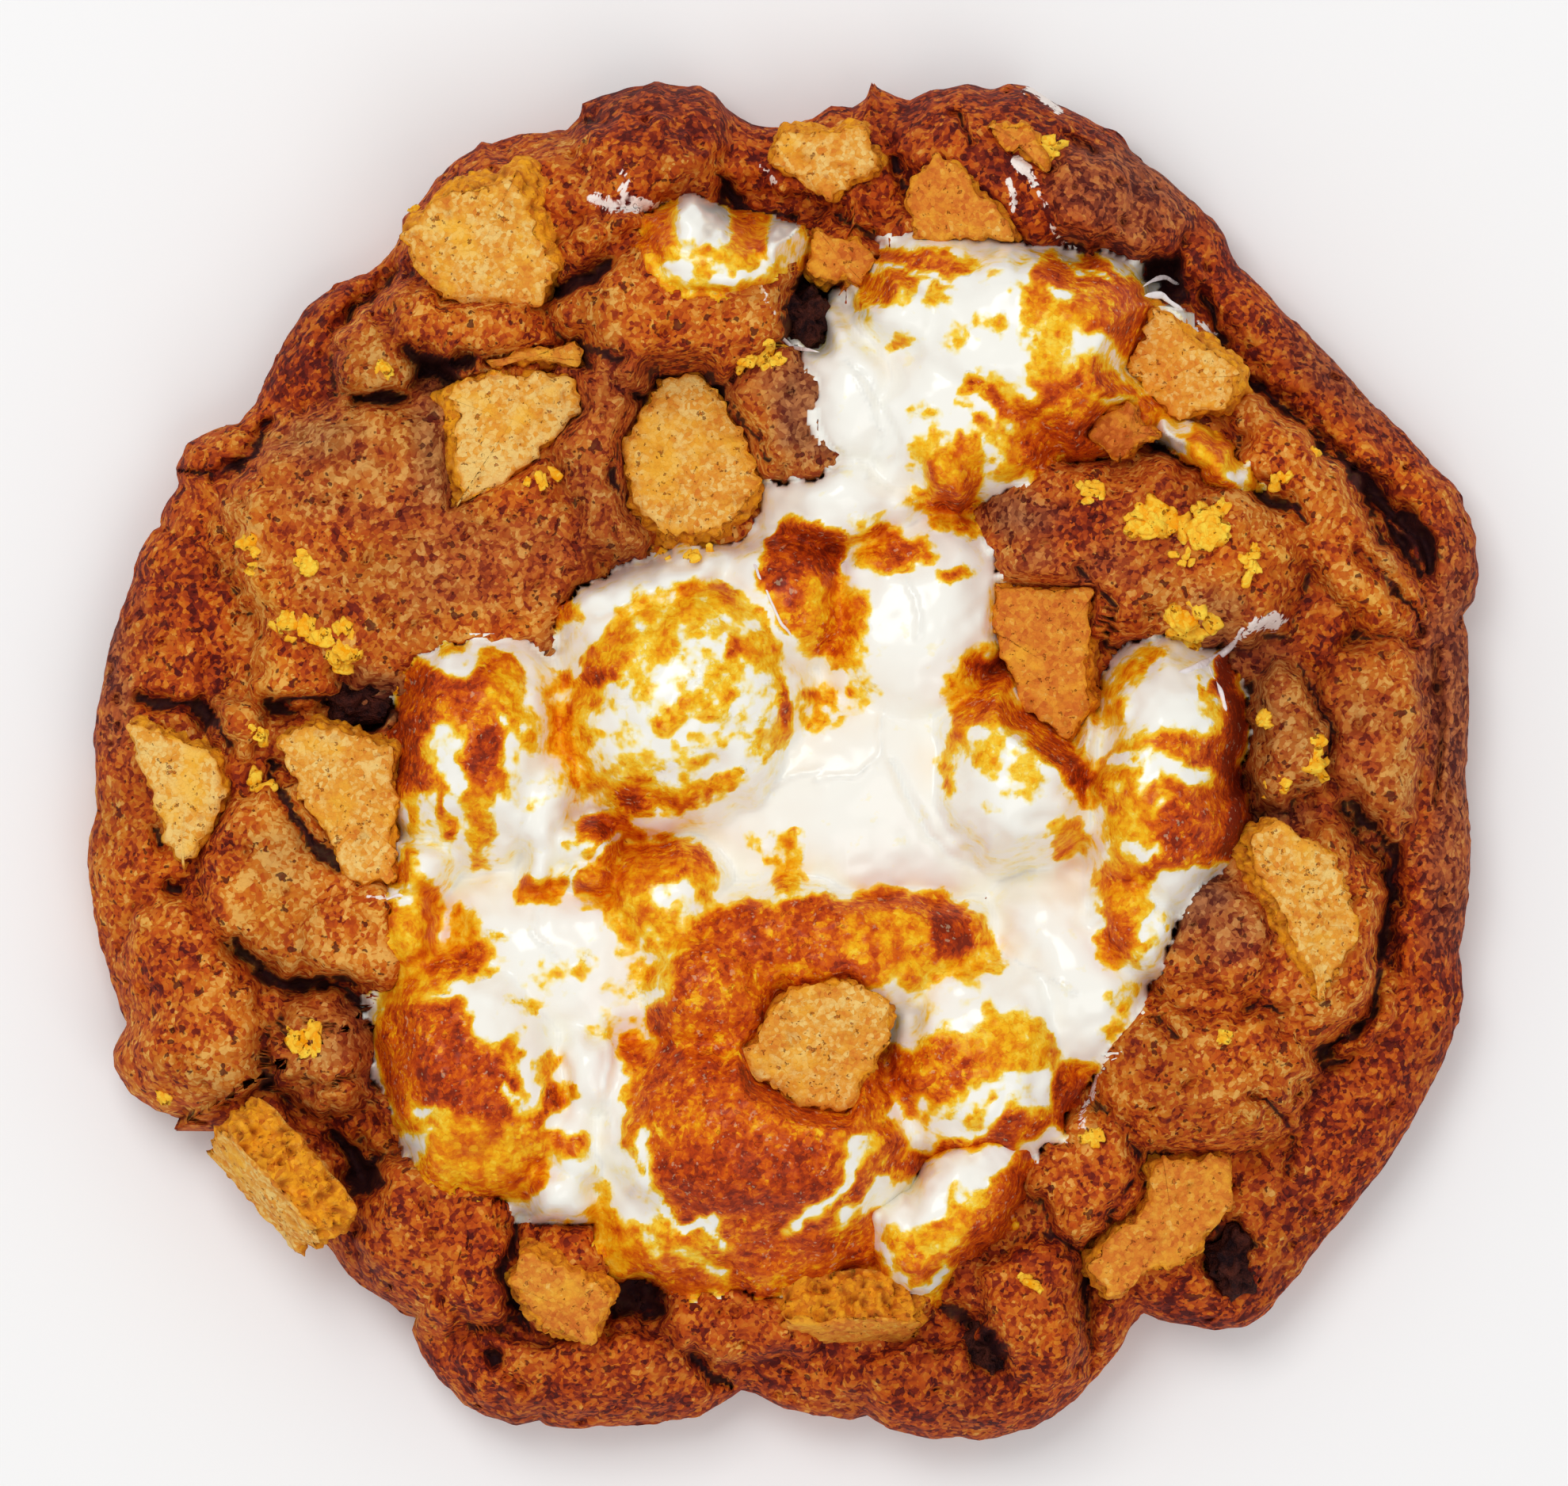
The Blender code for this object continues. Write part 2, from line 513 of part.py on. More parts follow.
def make_melt(name, lumps, cell, collection, material=None, growth=0.0):
    """A block whose upper side is a marshmallow's, to be cut off at the dough."""
    reach = max(max(lump.half_length, lump.half_width) for lump in lumps)
    low_x, high_x = min(lump.x for lump in lumps) - reach, max(lump.x for lump in lumps) + reach
    low_y, high_y = min(lump.y for lump in lumps) - reach, max(lump.y for lump in lumps) + reach

    def place(u, v):
        x = low_x + (u + 1) / 2 * (high_x - low_x)
        y = low_y + (v + 1) / 2 * (high_y - low_y)
        return x, y, np.maximum(melt_height(x, y, lumps, growth), WAIST_HEIGHT)

    bm = bmesh.new()
    bmesh.ops.create_grid(bm, x_segments=round((high_x - low_x) / cell),
                          y_segments=round((high_y - low_y) / cell), size=1.0)
    move_points(bm, place)
    close_below(bm, [lambda point: Vector((point.x, point.y, (WAIST_HEIGHT - CUTTER_DEPTH) * MM))])
    settle_faces(bm)
    return object_from(bm, name, collection, material)


def broken_outline(corners, seed, growth=0.0):
    """A cracker's outline about its centre, with crumbly edges between its corners."""
    corners = np.array(corners)
    centre = corners.mean(axis=0)
    rng = np.random.default_rng(seed)
    points = []
    for start, end in zip(corners, np.roll(corners, -1, axis=0)):
        length = np.hypot(*(end - start))
        outwards = np.array([start[1] - end[1], end[0] - start[0]]) / length
        steps = max(1, round(length / BROKEN_STEP))
        for step in range(steps):
            jog = rng.uniform(-BROKEN_DEPTH, BROKEN_DEPTH) if step else 0.0
            points.append(start + (end - start) * step / steps + outwards * jog - centre)
    points = np.array(points)
    if signed_area(points) < 0:
        points = points[::-1]
    return centre, offset_outline(points, growth)


def signed_area(points):
    """Area inside an outline, positive if it runs counter-clockwise."""
    following = np.roll(points, -1, axis=0)
    return 0.5 * float(np.sum(points[:, 0] * following[:, 1] - following[:, 0] * points[:, 1]))


def offset_outline(points, growth):
    """The same outline with each of its corners moved outwards."""
    before = points - np.roll(points, 1, axis=0)
    after = np.roll(points, -1, axis=0) - points
    before = before / np.hypot(*before.T)[:, None]
    after = after / np.hypot(*after.T)[:, None]
    normal = np.stack([before[:, 1] + after[:, 1], -before[:, 0] - after[:, 0]], axis=1) / 2
    return points + growth * normal / np.sum(normal * normal, axis=1)[:, None].clip(0.35)


def make_slab(name, outline, thickness, placing, collection, material=None, seed=None):
    """A flat outline with thickness, its broken sides uneven halfway up, and its place."""
    curve = bpy.data.curves.new(name, "CURVE")
    curve.dimensions = "2D"
    curve.fill_mode = "BOTH"
    curve.extrude = thickness / 2 * MM
    spline = curve.splines.new("POLY")
    spline.points.add(len(outline) - 1)
    for point, (x, y) in zip(spline.points, outline):
        point.co = (x * MM, y * MM, 0, 1)
    spline.use_cyclic_u = True
    guide = bpy.data.objects.new(name + "_guide", curve)
    collection.objects.link(guide)
    depsgraph = bpy.context.evaluated_depsgraph_get()
    mesh = bpy.data.meshes.new_from_object(guide.evaluated_get(depsgraph))
    bpy.data.objects.remove(guide, do_unlink=True)
    bm = bmesh.new()
    bm.from_mesh(mesh)
    bpy.data.meshes.remove(mesh)
    bmesh.ops.remove_doubles(bm, verts=bm.verts, dist=WELD * MM)
    if seed is not None:
        roughen_sides(bm, seed)
    obj = object_from(bm, name, collection, material)
    obj.matrix_world = placing
    return obj


def roughen_sides(bm, seed):
    """Cuts the slab halfway up and presses the new points of its sides in or out."""
    rng = np.random.default_rng(seed)
    geometry = bm.verts[:] + bm.edges[:] + bm.faces[:]
    cut = bmesh.ops.bisect_plane(bm, geom=geometry, plane_co=(0, 0, 0), plane_no=(0, 0, 1))
    for item in cut["geom_cut"]:
        if isinstance(item, bmesh.types.BMVert):
            item.co.xy *= 1 + rng.uniform(-0.09, 0.0)


def lean_matrix(lean, towards):
    """Rotation that tips +Z by an angle towards a direction in plan, both in degrees."""
    direction = math.radians(towards)
    return Matrix.Rotation(math.radians(lean), 4, (-math.sin(direction), math.cos(direction), 0))


def cracker_placing(cracker, centre):
    """Place of a cracker that lies half sunk in the surface under its centre."""
    around = np.array(cracker.corners) * 0.5 + centre * 0.5
    height = float(np.mean(surface_height(around[:, 0], around[:, 1])))
    height += cracker.rise - CRACKER_THICKNESS / 2
    place = Matrix.Translation((centre[0] * MM, centre[1] * MM, height * MM))
    return place @ lean_matrix(cracker.lean, cracker.towards)


def upright_placing(piece):
    """Place of a cracker on edge: turned in plan, then tipped over its long side."""
    turn = Matrix.Rotation(math.radians(piece.turn), 4, "Z")
    lean = Matrix.Rotation(math.radians(piece.lean), 4, "X")
    return Matrix.Translation(Vector((piece.x, piece.y, piece.z)) * MM) @ turn @ lean


def cracker_shapes():
    """Corners and placing of every cracker, flat ones first."""
    shapes = []
    for cracker in CRACKERS:
        centre = np.array(cracker.corners).mean(axis=0)
        shapes.append((cracker.corners, cracker_placing(cracker, centre)))
    for piece in UPRIGHT_CRACKERS:
        half_x, half_y = piece.length / 2, piece.depth / 2
        corners = ((-half_x, -half_y), (half_x * 0.9, -half_y), (half_x, half_y), (-half_x, half_y * 0.9))
        shapes.append((corners, upright_placing(piece)))
    return shapes


def make_crackers(collection, cutters, material):
    """Each cracker and the slightly larger cutter that makes its pocket."""
    pockets = []
    for number, (corners, placing) in enumerate(cracker_shapes(), 1):
        name = f"cracker_{number:02d}"
        outline = broken_outline(corners, number)[1]
        make_slab(name, outline, CRACKER_THICKNESS, placing, collection, material, seed=number)
        grown = broken_outline(corners, number, GAP)[1]
        thickness = CRACKER_THICKNESS + 2 * GAP
        pocket = make_slab(name + "_pocket", grown, thickness, placing, cutters)
        pockets.append(hide_cutter(pocket))
    return pockets


def make_chunk(name, chunk, collection, material=None, growth=0.0):
    """A block of chocolate with softened edges."""
    bm = bmesh.new()
    bmesh.ops.create_cube(bm, size=1.0)
    size = (chunk.length + 2 * growth, chunk.width + 2 * growth, chunk.height + 2 * growth, 1)
    bm.transform(Matrix.Diagonal(size))
    if material:
        bmesh.ops.bevel(bm, geom=bm.edges[:], offset=CHUNK_BEVEL, segments=1, affect="EDGES")
    place = Matrix.Translation((chunk.x, chunk.y, chunk.top - chunk.height / 2))
    turn = Matrix.Rotation(math.radians(chunk.turn), 4, "Z")
    bm.transform(Matrix.Scale(MM, 4) @ place @ turn @ lean_matrix(chunk.lean, CHUNK_LEAN_TOWARDS))
    return object_from(bm, name, collection, material)


def make_chunks(collection, cutters, material):
    """Each chocolate chunk and the cutter that makes its pocket."""
    pockets = []
    for number, chunk in enumerate(CHUNKS, 1):
        make_chunk(f"chocolate_{number}", chunk, collection, material)
        pocket = make_chunk(f"chocolate_{number}_pocket", chunk, cutters, growth=GAP)
        pockets.append(hide_cutter(pocket))
    return pockets


def world_box(obj):
    """Lowest and highest corner of an object."""
    points = np.array([obj.matrix_world @ vertex.co for vertex in obj.data.vertices])
    return points.min(axis=0), points.max(axis=0)


def boxes_meet(one, other):
    """Whether the boxes of two objects overlap."""
    (low_a, high_a), (low_b, high_b) = world_box(one), world_box(other)
    return bool(np.all(low_a <= high_b) and np.all(low_b <= high_a))


def make_marshmallows(collection, cutters, material, dough):
    """The melted mass and the three marshmallows apart from it, all resting on the dough."""
    raised = hide_cutter(bpy.data.objects.new("raised_dough", dough.data.copy()))
    cutters.objects.link(raised)
    raised.location.z = GAP * MM
    mass = make_melt("marshmallow", MELT_LUMPS, MELT_CELL, collection, material)
    pieces = [mass]
    for name, lumps in (("front", FRONT_LUMPS), ("back", BACK_LUMPS), ("sliver", SLIVER_LUMPS)):
        piece = make_melt("marshmallow_" + name, lumps, SMALL_MELT_CELL, collection, material)
        pieces.append(piece)
        hollow = make_melt(name + "_hollow", lumps, SMALL_MELT_CELL, cutters, growth=GAP)
        bpy.context.view_layer.update()
        combine(mass, hide_cutter(hollow), "DIFFERENCE")
    for piece in pieces:
        combine(piece, raised, "DIFFERENCE")
    return pieces


def main():
    """Builds the cookie."""
    for obj in list(bpy.data.objects):
        bpy.data.objects.remove(obj, do_unlink=True)
    cookie, cutters, crumbs = (new_collection(name) for name in ("smores_cookie", "cutters", "crumbs"))
    dough = make_dough(cookie, new_material(DOUGH))
    make_crumbs(crumbs)
    combine(dough, crumbs, "UNION")
    for obj in list(crumbs.objects):
        remove_object(obj)
    bpy.data.collections.remove(crumbs)
    marshmallows = make_marshmallows(cookie, cutters, new_material(MARSHMALLOW), dough)
    pockets = make_crackers(cookie, cutters, new_material(CRACKER))
    pockets += make_chunks(cookie, cutters, new_material(CHOCOLATE))
    bpy.context.view_layer.update()
    for body in [dough] + marshmallows:
        for pocket in pockets:
            if boxes_meet(body, pocket):
                combine(body, pocket, "DIFFERENCE")


main()
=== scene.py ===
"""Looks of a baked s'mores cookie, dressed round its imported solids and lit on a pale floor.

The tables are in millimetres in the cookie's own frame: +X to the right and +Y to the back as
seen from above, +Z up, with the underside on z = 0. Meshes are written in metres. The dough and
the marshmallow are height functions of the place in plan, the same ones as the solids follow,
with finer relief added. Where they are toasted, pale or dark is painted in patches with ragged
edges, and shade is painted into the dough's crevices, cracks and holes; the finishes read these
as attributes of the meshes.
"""

import logging
import math
from dataclasses import dataclass
from enum import Enum

import bpy
import numpy as np
from mathutils import Matrix, Vector


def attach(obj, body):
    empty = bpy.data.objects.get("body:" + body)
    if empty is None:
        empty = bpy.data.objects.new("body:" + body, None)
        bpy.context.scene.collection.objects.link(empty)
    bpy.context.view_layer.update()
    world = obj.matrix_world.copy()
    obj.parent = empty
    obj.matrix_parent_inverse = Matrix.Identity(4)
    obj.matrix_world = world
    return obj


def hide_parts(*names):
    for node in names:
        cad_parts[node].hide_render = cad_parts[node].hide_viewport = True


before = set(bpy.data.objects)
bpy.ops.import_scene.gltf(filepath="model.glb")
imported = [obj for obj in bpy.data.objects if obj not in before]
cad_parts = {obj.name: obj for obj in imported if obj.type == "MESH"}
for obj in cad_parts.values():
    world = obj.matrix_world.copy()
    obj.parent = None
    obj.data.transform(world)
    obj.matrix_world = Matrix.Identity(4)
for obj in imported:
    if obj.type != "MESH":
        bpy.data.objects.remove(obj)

Array = np.ndarray
Colour = tuple[float, float, float, float]
Point = tuple[float, float]

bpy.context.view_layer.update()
MM = 0.001
CRACKER_THICKNESS = 3.8
LOG = logging.getLogger("smores_cookie")


@dataclass(frozen=True)
class Lump:
    """A squashed dome seen from above: place, half sizes, turn in degrees, height of its top.

    Dough lumps also say how tan they are baked and how much chocolate stains them.
    """

    x: float
    y: float
    half_length: float
    half_width: float
    turn: float
    top: float
    tan: float = 0.5
    stain: float = 0.0


@dataclass(frozen=True)
class Groove:
    """A crevice, crack or crease: depth, below zero for a ridge, half width and route."""

    depth: float
    half_width: float
    route: tuple[Point, ...]


@dataclass(frozen=True)
class Patch:
    """A painted area with ragged edges: place, half sizes, level and turn in degrees."""

    x: float
    y: float
    half_length: float
    half_width: float
    level: float
    turn: float = 0


@dataclass(frozen=True)
class Stroke:
    """A painted band with ragged edges: half width, level and route."""

    half_width: float
    level: float
    route: tuple[Point, ...]


def marks(*rows: tuple) -> tuple[Patch | Stroke, ...]:
    """Patches and strokes in the order of painting, where a row of three values is a stroke."""
    return tuple(Stroke(*row) if len(row) == 3 else Patch(*row) for row in rows)


class Bake(Enum):
    """How far the face of a cracker is baked, from pale gold to brown."""

    PALE = 0.12
    GOLDEN = 0.3
    AMBER = 0.62
    BROWN = 0.95


# The edge of the dough in plan, counter-clockwise from the right
OUTLINE: tuple[Point, ...] = (
    (49.9, 16), (50, 14), (49.7, 11.5), (48.9, 10.5), (49.2, 9), (49.3, 5), (49, -1.2), (49.4, -5),
    (49.4, -8), (48.9, -12), (48.6, -13.7), (49.05, -17), (48.1, -20), (47.3, -22), (46.2, -24),
    (45.3, -26), (44, -28), (42.7, -30), (41.1, -32), (39.3, -34), (37.8, -36), (36.2, -38), (34.8, -39.7),
    (33.2, -40.8), (31, -41), (28.8, -40.6), (27, -40.3), (25.9, -39.7), (24.9, -41), (24.5, -42),
    (23.8, -43), (21.9, -45), (20, -46.8), (17.8, -48.1), (15.5, -48.8), (14.1, -49), (12.5, -48.7),
    (10.7, -48.9), (7.5, -48.1), (6, -47.1), (5, -47.5), (1.8, -47.1), (0, -46.7), (-2, -45.6), (-3, -45.3),
    (-4.2, -46.2), (-6, -47.1), (-10, -47.7), (-14, -48.1), (-17, -47.9), (-17.6, -47.5), (-19.3, -47.9),
    (-21, -47.4), (-22.9, -46.4), (-24.5, -44.7), (-26, -43), (-26.75, -41), (-26.3, -40.2), (-27.5, -39.6),
    (-29, -38.6), (-31.2, -37), (-32.7, -34.8), (-34, -33.6), (-37, -29.6), (-40.4, -26.6), (-42.3, -25.5),
    (-43.5, -25.8), (-44, -26.6), (-45.2, -25.3), (-47, -23.9), (-48.2, -22), (-48.3, -21.2), (-47.25, -19),
    (-48, -17), (-48.9, -14.3), (-49.4, -12), (-50, -8.5), (-50.1, -7.5), (-49.6, -4.2), (-49.4, -3.5),
    (-49.6, -1), (-49.4, 4), (-48.7, 7), (-48.2, 9.3), (-47.4, 11.3), (-46.6, 13.3), (-46.4, 15),
    (-45.5, 16.6), (-45, 16.7), (-44.4, 18.5), (-43.5, 19.8), (-43.8, 21), (-43, 22.8), (-41.5, 23.5),
    (-40, 24.2), (-39.4, 24.2), (-38.1, 25.6), (-37.2, 27.5), (-36.1, 29.8), (-34.1, 32.7), (-32.2, 34.2),
    (-30, 35), (-28.3, 36.5), (-27.4, 38), (-27.4, 39.1), (-25.8, 40.6), (-25, 41.8), (-23.6, 43.1),
    (-22.1, 44), (-21.7, 44.6), (-21.2, 44.4), (-19, 45), (-15.6, 45.3), (-14.6, 46.5), (-14.5, 47.3),
    (-12.5, 48), (-10, 48.6), (-9.2, 48.9), (-8, 48.5), (-6, 48.6), (-5, 48), (-4.2, 47), (-2.2, 45.7),
    (-1.3, 45.55), (0, 45.6), (2, 46.2), (3.4, 47.1), (5, 47), (6.1, 47.8), (6.35, 49), (6.8, 48.4),
    (8, 47.8), (9, 47.4), (10.5, 48.2), (13, 48.7), (15, 48.2), (16.3, 48.75), (17.5, 48.6), (19.5, 47.4),
    (21.5, 46.4), (23.8, 45.2), (25, 43.9), (26.8, 42.5), (29, 40.5), (31, 38.8), (31.7, 37.9),
    (32.2, 36.5), (32.7, 35.5), (34, 34.4), (36.2, 32.1), (38, 30.5), (40, 28.4), (42, 26.1), (43.6, 24.5),
    (45.3, 22.9), (46.7, 21.2), (48.2, 19.9), (49.1, 18),
)

# Lumps of the dough over its rim and plateau
DOUGH_LUMPS: tuple[Lump, ...] = tuple(Lump(*row) for row in (
    (-26, 15.5, 13.8, 10.8, 0, 17.4, 0.6, 0.1), (-34.5, 7.2, 4.2, 3.6, 0, 15.6, 0.6),
    (-13.2, 22.5, 3.8, 8.6, 8, 17.8, 0.5, 0.25), (-8, 33, 8.9, 6.3, -5, 20.2, 0.58),
    (-22.5, 31.3, 6.4, 4, 0, 16.8, 0.45), (-29.5, 28.8, 3.2, 3.6, 30, 15.2, 0.85, 0.1),
    (-12.5, 41.5, 8.6, 5.3, 10, 15.6, 0.5), (-22.5, 38.5, 6.6, 5.6, 0, 14.4, 0.4),
    (-9, 45.6, 5.8, 3.6, 0, 13.4, 0.16, 0.1), (0.8, 24.5, 5.8, 4.6, -15, 18.4, 0.6, 0.4),
    (19.5, 42.5, 12.2, 6.2, -18, 14.6, 0.1), (22.5, 40.8, 4.2, 3.8, 0, 16, 0.12, 0.3),
    (38.5, 17.5, 10.4, 3.6, -57, 15.6, 0.58), (25.5, 15.2, 12, 6.6, -10, 18.8, 0.5, 0.1),
    (42.5, 1.8, 4.2, 7.8, 0, 14.6, 0.56, 0.15), (36.2, 2.2, 2.8, 5.8, 0, 17, 0.72, 0.3),
    (34.8, -12.8, 9.2, 9.4, 0, 16.2, 0.58), (31.4, -12, 4.8, 4.6, 0, 18, 0.5, 0.15),
    (30, -22.3, 8, 6.4, 0, 18, 0.58), (21.8, -30, 5.2, 4.4, 40, 16, 0.45),
    (18, -39.8, 4.4, 6.2, 0, 15, 0.34), (13, -45, 10.4, 4, 0, 12.8, 0.3), (-15, -44.4, 11, 4, 0, 12.6, 0.3),
    (-24.6, -34, 5.8, 8, 8, 15.6, 0.3), (-15.6, -37, 4.4, 3.8, 0, 14.4, 0.3),
    (-42.3, -17.5, 5.6, 8, 10, 14.2, 0.7), (-45, -22.8, 3.6, 3.8, 0, 12.8, 0.65),
    (-34.6, -9, 7.6, 7.8, 0, 15.6, 0.8), (-30.2, -12.6, 4.6, 4.4, -10, 16.9, 0.66),
    (-33, -20.7, 4.8, 4.6, 0, 14.6, 0.55, 0.15), (-38.5, 2.6, 2.4, 3, 0, 15.2, 0.75, 0.1),
    (-3, -40.4, 6.4, 3.8, 0, 13.2, 0.3),
))

# Lumps of the melted mass, and of the marshmallows that lie apart from it
MELT_LUMPS: tuple[Lump, ...] = tuple(Lump(*row) for row in (
    (-21.8, 0.8, 6.2, 8.6, 0, 22), (-7.4, 4.6, 8, 8.5, -10, 24.4), (17.4, 29.9, 9.8, 6.6, -14, 23),
    (9.8, 32, 4.2, 3.4, -8, 21.6), (12.4, 25.4, 7.8, 7.2, 0, 21.4), (12, 20.8, 2.4, 3, 0, 21.8),
    (16.3, -0.8, 6, 6.3, 0, 23.4), (27.2, -1.6, 5.1, 8.8, -8, 24), (-2, -26.8, 10.2, 8.3, 0, 24.4),
    (-3, -30, 11.6, 8, 0, 20), (3, -13.4, 12.6, 4.8, -3, 21), (-5, -16.4, 5.6, 6, 0, 22.2),
    (-22.2, -22.4, 6, 9.4, 12, 21.4), (5, -2.4, 13.4, 10, 0, 18.2), (8.6, 9.4, 7.4, 9.4, -10, 19.4),
    (4.2, 18.8, 6.6, 3.5, 10, 20), (-16, -14.6, 10, 8, -10, 18.4), (20.4, -14.8, 6.2, 8.8, 12, 18.4),
    (14, -21.8, 7.2, 8, 0, 20.2), (-0.6, 11.6, 5.2, 5, 0, 20.2), (-9.6, 12.3, 7, 2.3, 22, 21.2),
    (-26.6, -12.6, 2.8, 4.6, 0, 18.2), (-16.2, -31, 2.8, 3.2, 0, 18.4), (-8.2, -10.4, 5.2, 5.2, 0, 20.2),
    (25, -11.2, 3, 4.8, 20, 20.4), (5, 26, 4.2, 6.4, 20, 20.2), (-11.2, -25, 3.4, 6, 0, 18.8),
    (-14.4, -22.4, 3.4, 4.4, 0, 19.6), (-15.6, -27.2, 3.2, 4.6, 20, 19), (-17, -7.2, 2, 2.4, 0, 18.8),
    (-13.6, -7.8, 2.6, 1.5, 0, 19.2), (-25.8, -8.4, 2.8, 2.4, 0, 18.9), (-17.2, -3.4, 3.2, 5.4, 0, 19.8),
    (-13.6, -5.4, 2.6, 2.2, 0, 19.4),
))
FRONT_LUMPS: tuple[Lump, ...] = tuple(Lump(*row) for row in (
    (12.4, -32, 7.4, 3.6, 52, 19), (9.6, -34.4, 3.8, 4, 0, 18.2),
))
BACK_LUMPS: tuple[Lump, ...] = tuple(Lump(*row) for row in (
    (-5.2, 35.9, 5.6, 3.8, -8, 22.4), (-5.8, 38.3, 2.3, 2.2, 0, 22.6), (-0.1, 36.7, 2.1, 2.1, 0, 21.5),
))
SLIVER_LUMPS: tuple[Lump, ...] = tuple(Lump(*row) for row in (
    (29.8, 22.2, 4.6, 1.9, -36, 19.8),
))

# Deep crevices, which the solid has too
CREVICES: tuple[Groove, ...] = tuple(Groove(*row) for row in (
    (2.6, 1.5, ((20, 37), (26, 36), (30, 33), (34, 27), (40, 21), (44.5, 16.5))),
    (2.4, 1.4, ((41, -3.5), (43.6, -9), (43, -15), (39.5, -21))),
    (0.9, 1, ((-40.5, 17), (-39, 11), (-37, 4))),
    (2.2, 1.3, ((-39.5, -13), (-36, -16.2), (-31, -17), (-29, -23))),
    (2.6, 1.4, ((-17, 34), (-12.5, 36), (-5, 41), (2, 40))),
    (2.2, 1.4, ((-31, 32), (-28, 35.5), (-24, 35.5))),
    (2.6, 1.4, ((-35.6, -24), (-32, -27.4), (-29.6, -32))), (2.2, 1.2, ((33.4, 5), (33.4, -4))),
    (2.4, 1.3, ((23, -34.5), (21, -38.5), (22, -43))),
))

# Cracks too fine for the solid
CRACKS: tuple[Groove, ...] = tuple(Groove(*row) for row in (
    (1.6, 0.45, ((30, 33), (33, 28), (36, 25.5), (38, 24), (40, 21), (42.5, 18.5))),
    (1.5, 0.5, ((34.5, 19.5), (37, 17))), (1.4, 0.45, ((41, 15), (43.5, 13), (45.5, 10))),
    (1.9, 0.6, ((39.8, 21.6), (41.8, 19.4), (43.6, 17.6), (45.6, 16.9), (46.6, 15.6), (46.4, 13.6))),
    (1.7, 0.5, ((43.4, 17.6), (44.4, 15.6), (45.6, 13.4))),
    (1.6, 0.6, ((11.2, -39.6), (13, -40.2), (14.4, -41.4))), (1.1, 0.4, ((47, 8), (47.3, 3), (46.8, -3))),
    (1.6, 0.45, ((41, -3.5), (43.5, -6), (43.6, -10), (43, -15), (42, -19), (39, -21))),
    (1.6, 0.45, ((-39.5, -13), (-37.5, -15.5), (-34, -16), (-31, -17), (-29, -19), (-29, -23))),
    (1.3, 0.35, ((-36, -18.5), (-35.8, -20))), (1.2, 0.4, ((-33.5, -23.5), (-31.5, -22.6), (-29.4, -22.9))),
    (1.7, 0.5, ((-6.5, -43), (-4, -45))), (1.8, 0.5, ((-19, -31.5), (-20, -37), (-18.5, -40.5))),
    (2, 0.7, ((-21, -42.3), (-20.6, -42.8))), (1.8, 0.5, ((22.3, -35), (21.3, -37.5), (21.6, -38.6))),
    (1.8, 0.6, ((-42.6, 4), (-40.7, 2.4), (-39.6, 1.2))), (1.8, 0.6, ((-46, 4.4), (-43.2, 4.3))),
    (1.8, 0.7, ((-36.6, 3.6), (-34, 4.4), (-31, 4))),
    (1.9, 0.6, ((-36.8, -0.5), (-35.4, -3.5), (-34, -5.5), (-32, -7.5))),
    (1.5, 0.5, ((-45.3, -5), (-45, -6.2))), (1.5, 0.5, ((-43.9, -9), (-43, -9.6))),
    (1.4, 0.4, ((-44, 21.5), (-40, 20.6), (-37.6, 22.4), (-37, 24))),
    (1.2, 0.5, ((-31.2, 31.8), (-30, 33), (-28, 35.5))),
    (1.9, 0.6, ((-30.6, 26), (-29.2, 26.3), (-28, 26.2))),
    (1.9, 0.7, ((-27, 29.6), (-25.4, 28.6), (-22.6, 28.4))),
    (1.8, 0.5, ((-17, 33.5), (-14.8, 34.4), (-12.5, 35.5))),
    (1.9, 0.6, ((-14.6, 29.8), (-13, 29.2), (-12, 28.5))),
    (1.7, 0.5, ((-5.5, 27.5), (-3.8, 24.8), (-2, 22.8), (-1.2, 21.6))),
    (1.6, 0.5, ((-11.7, 22.5), (-11.9, 20), (-11.3, 18.5))),
    (1.6, 0.5, ((-5, 42), (-2.6, 39.6), (0.4, 38.6))), (1.4, 0.45, ((4.5, 39), (6.2, 37.4), (6.9, 36.1))),
    (1.6, 0.45, ((8.2, 43.4), (8.8, 41.8), (9, 40.2))), (1.3, 0.4, ((12.4, 46.2), (13.6, 44.2))),
    (1.2, 0.4, ((21, 44.4), (22.4, 43.2))), (1.6, 0.5, ((26.6, 22.6), (27.6, 21.8), (29.2, 21.2))),
    (1.5, 0.5, ((21, 13.4), (23.5, 11), (23, 9))), (1.1, 0.4, ((26, 26.4), (27, 24.6))),
    (1.2, 0.4, ((33.4, -17.6), (35.6, -18))), (1.1, 0.35, ((26.4, -18.2), (28, -19.8))),
    (1.3, 0.4, ((25.3, -30), (24.3, -32), (23.4, -33.6))),
    (1.2, 0.4, ((34, -24), (37, -26.5), (36, -29.5))),
    (2.6, 0.9, ((-32.2, -27), (-30.8, -28.6), (-30, -30.4))),
))

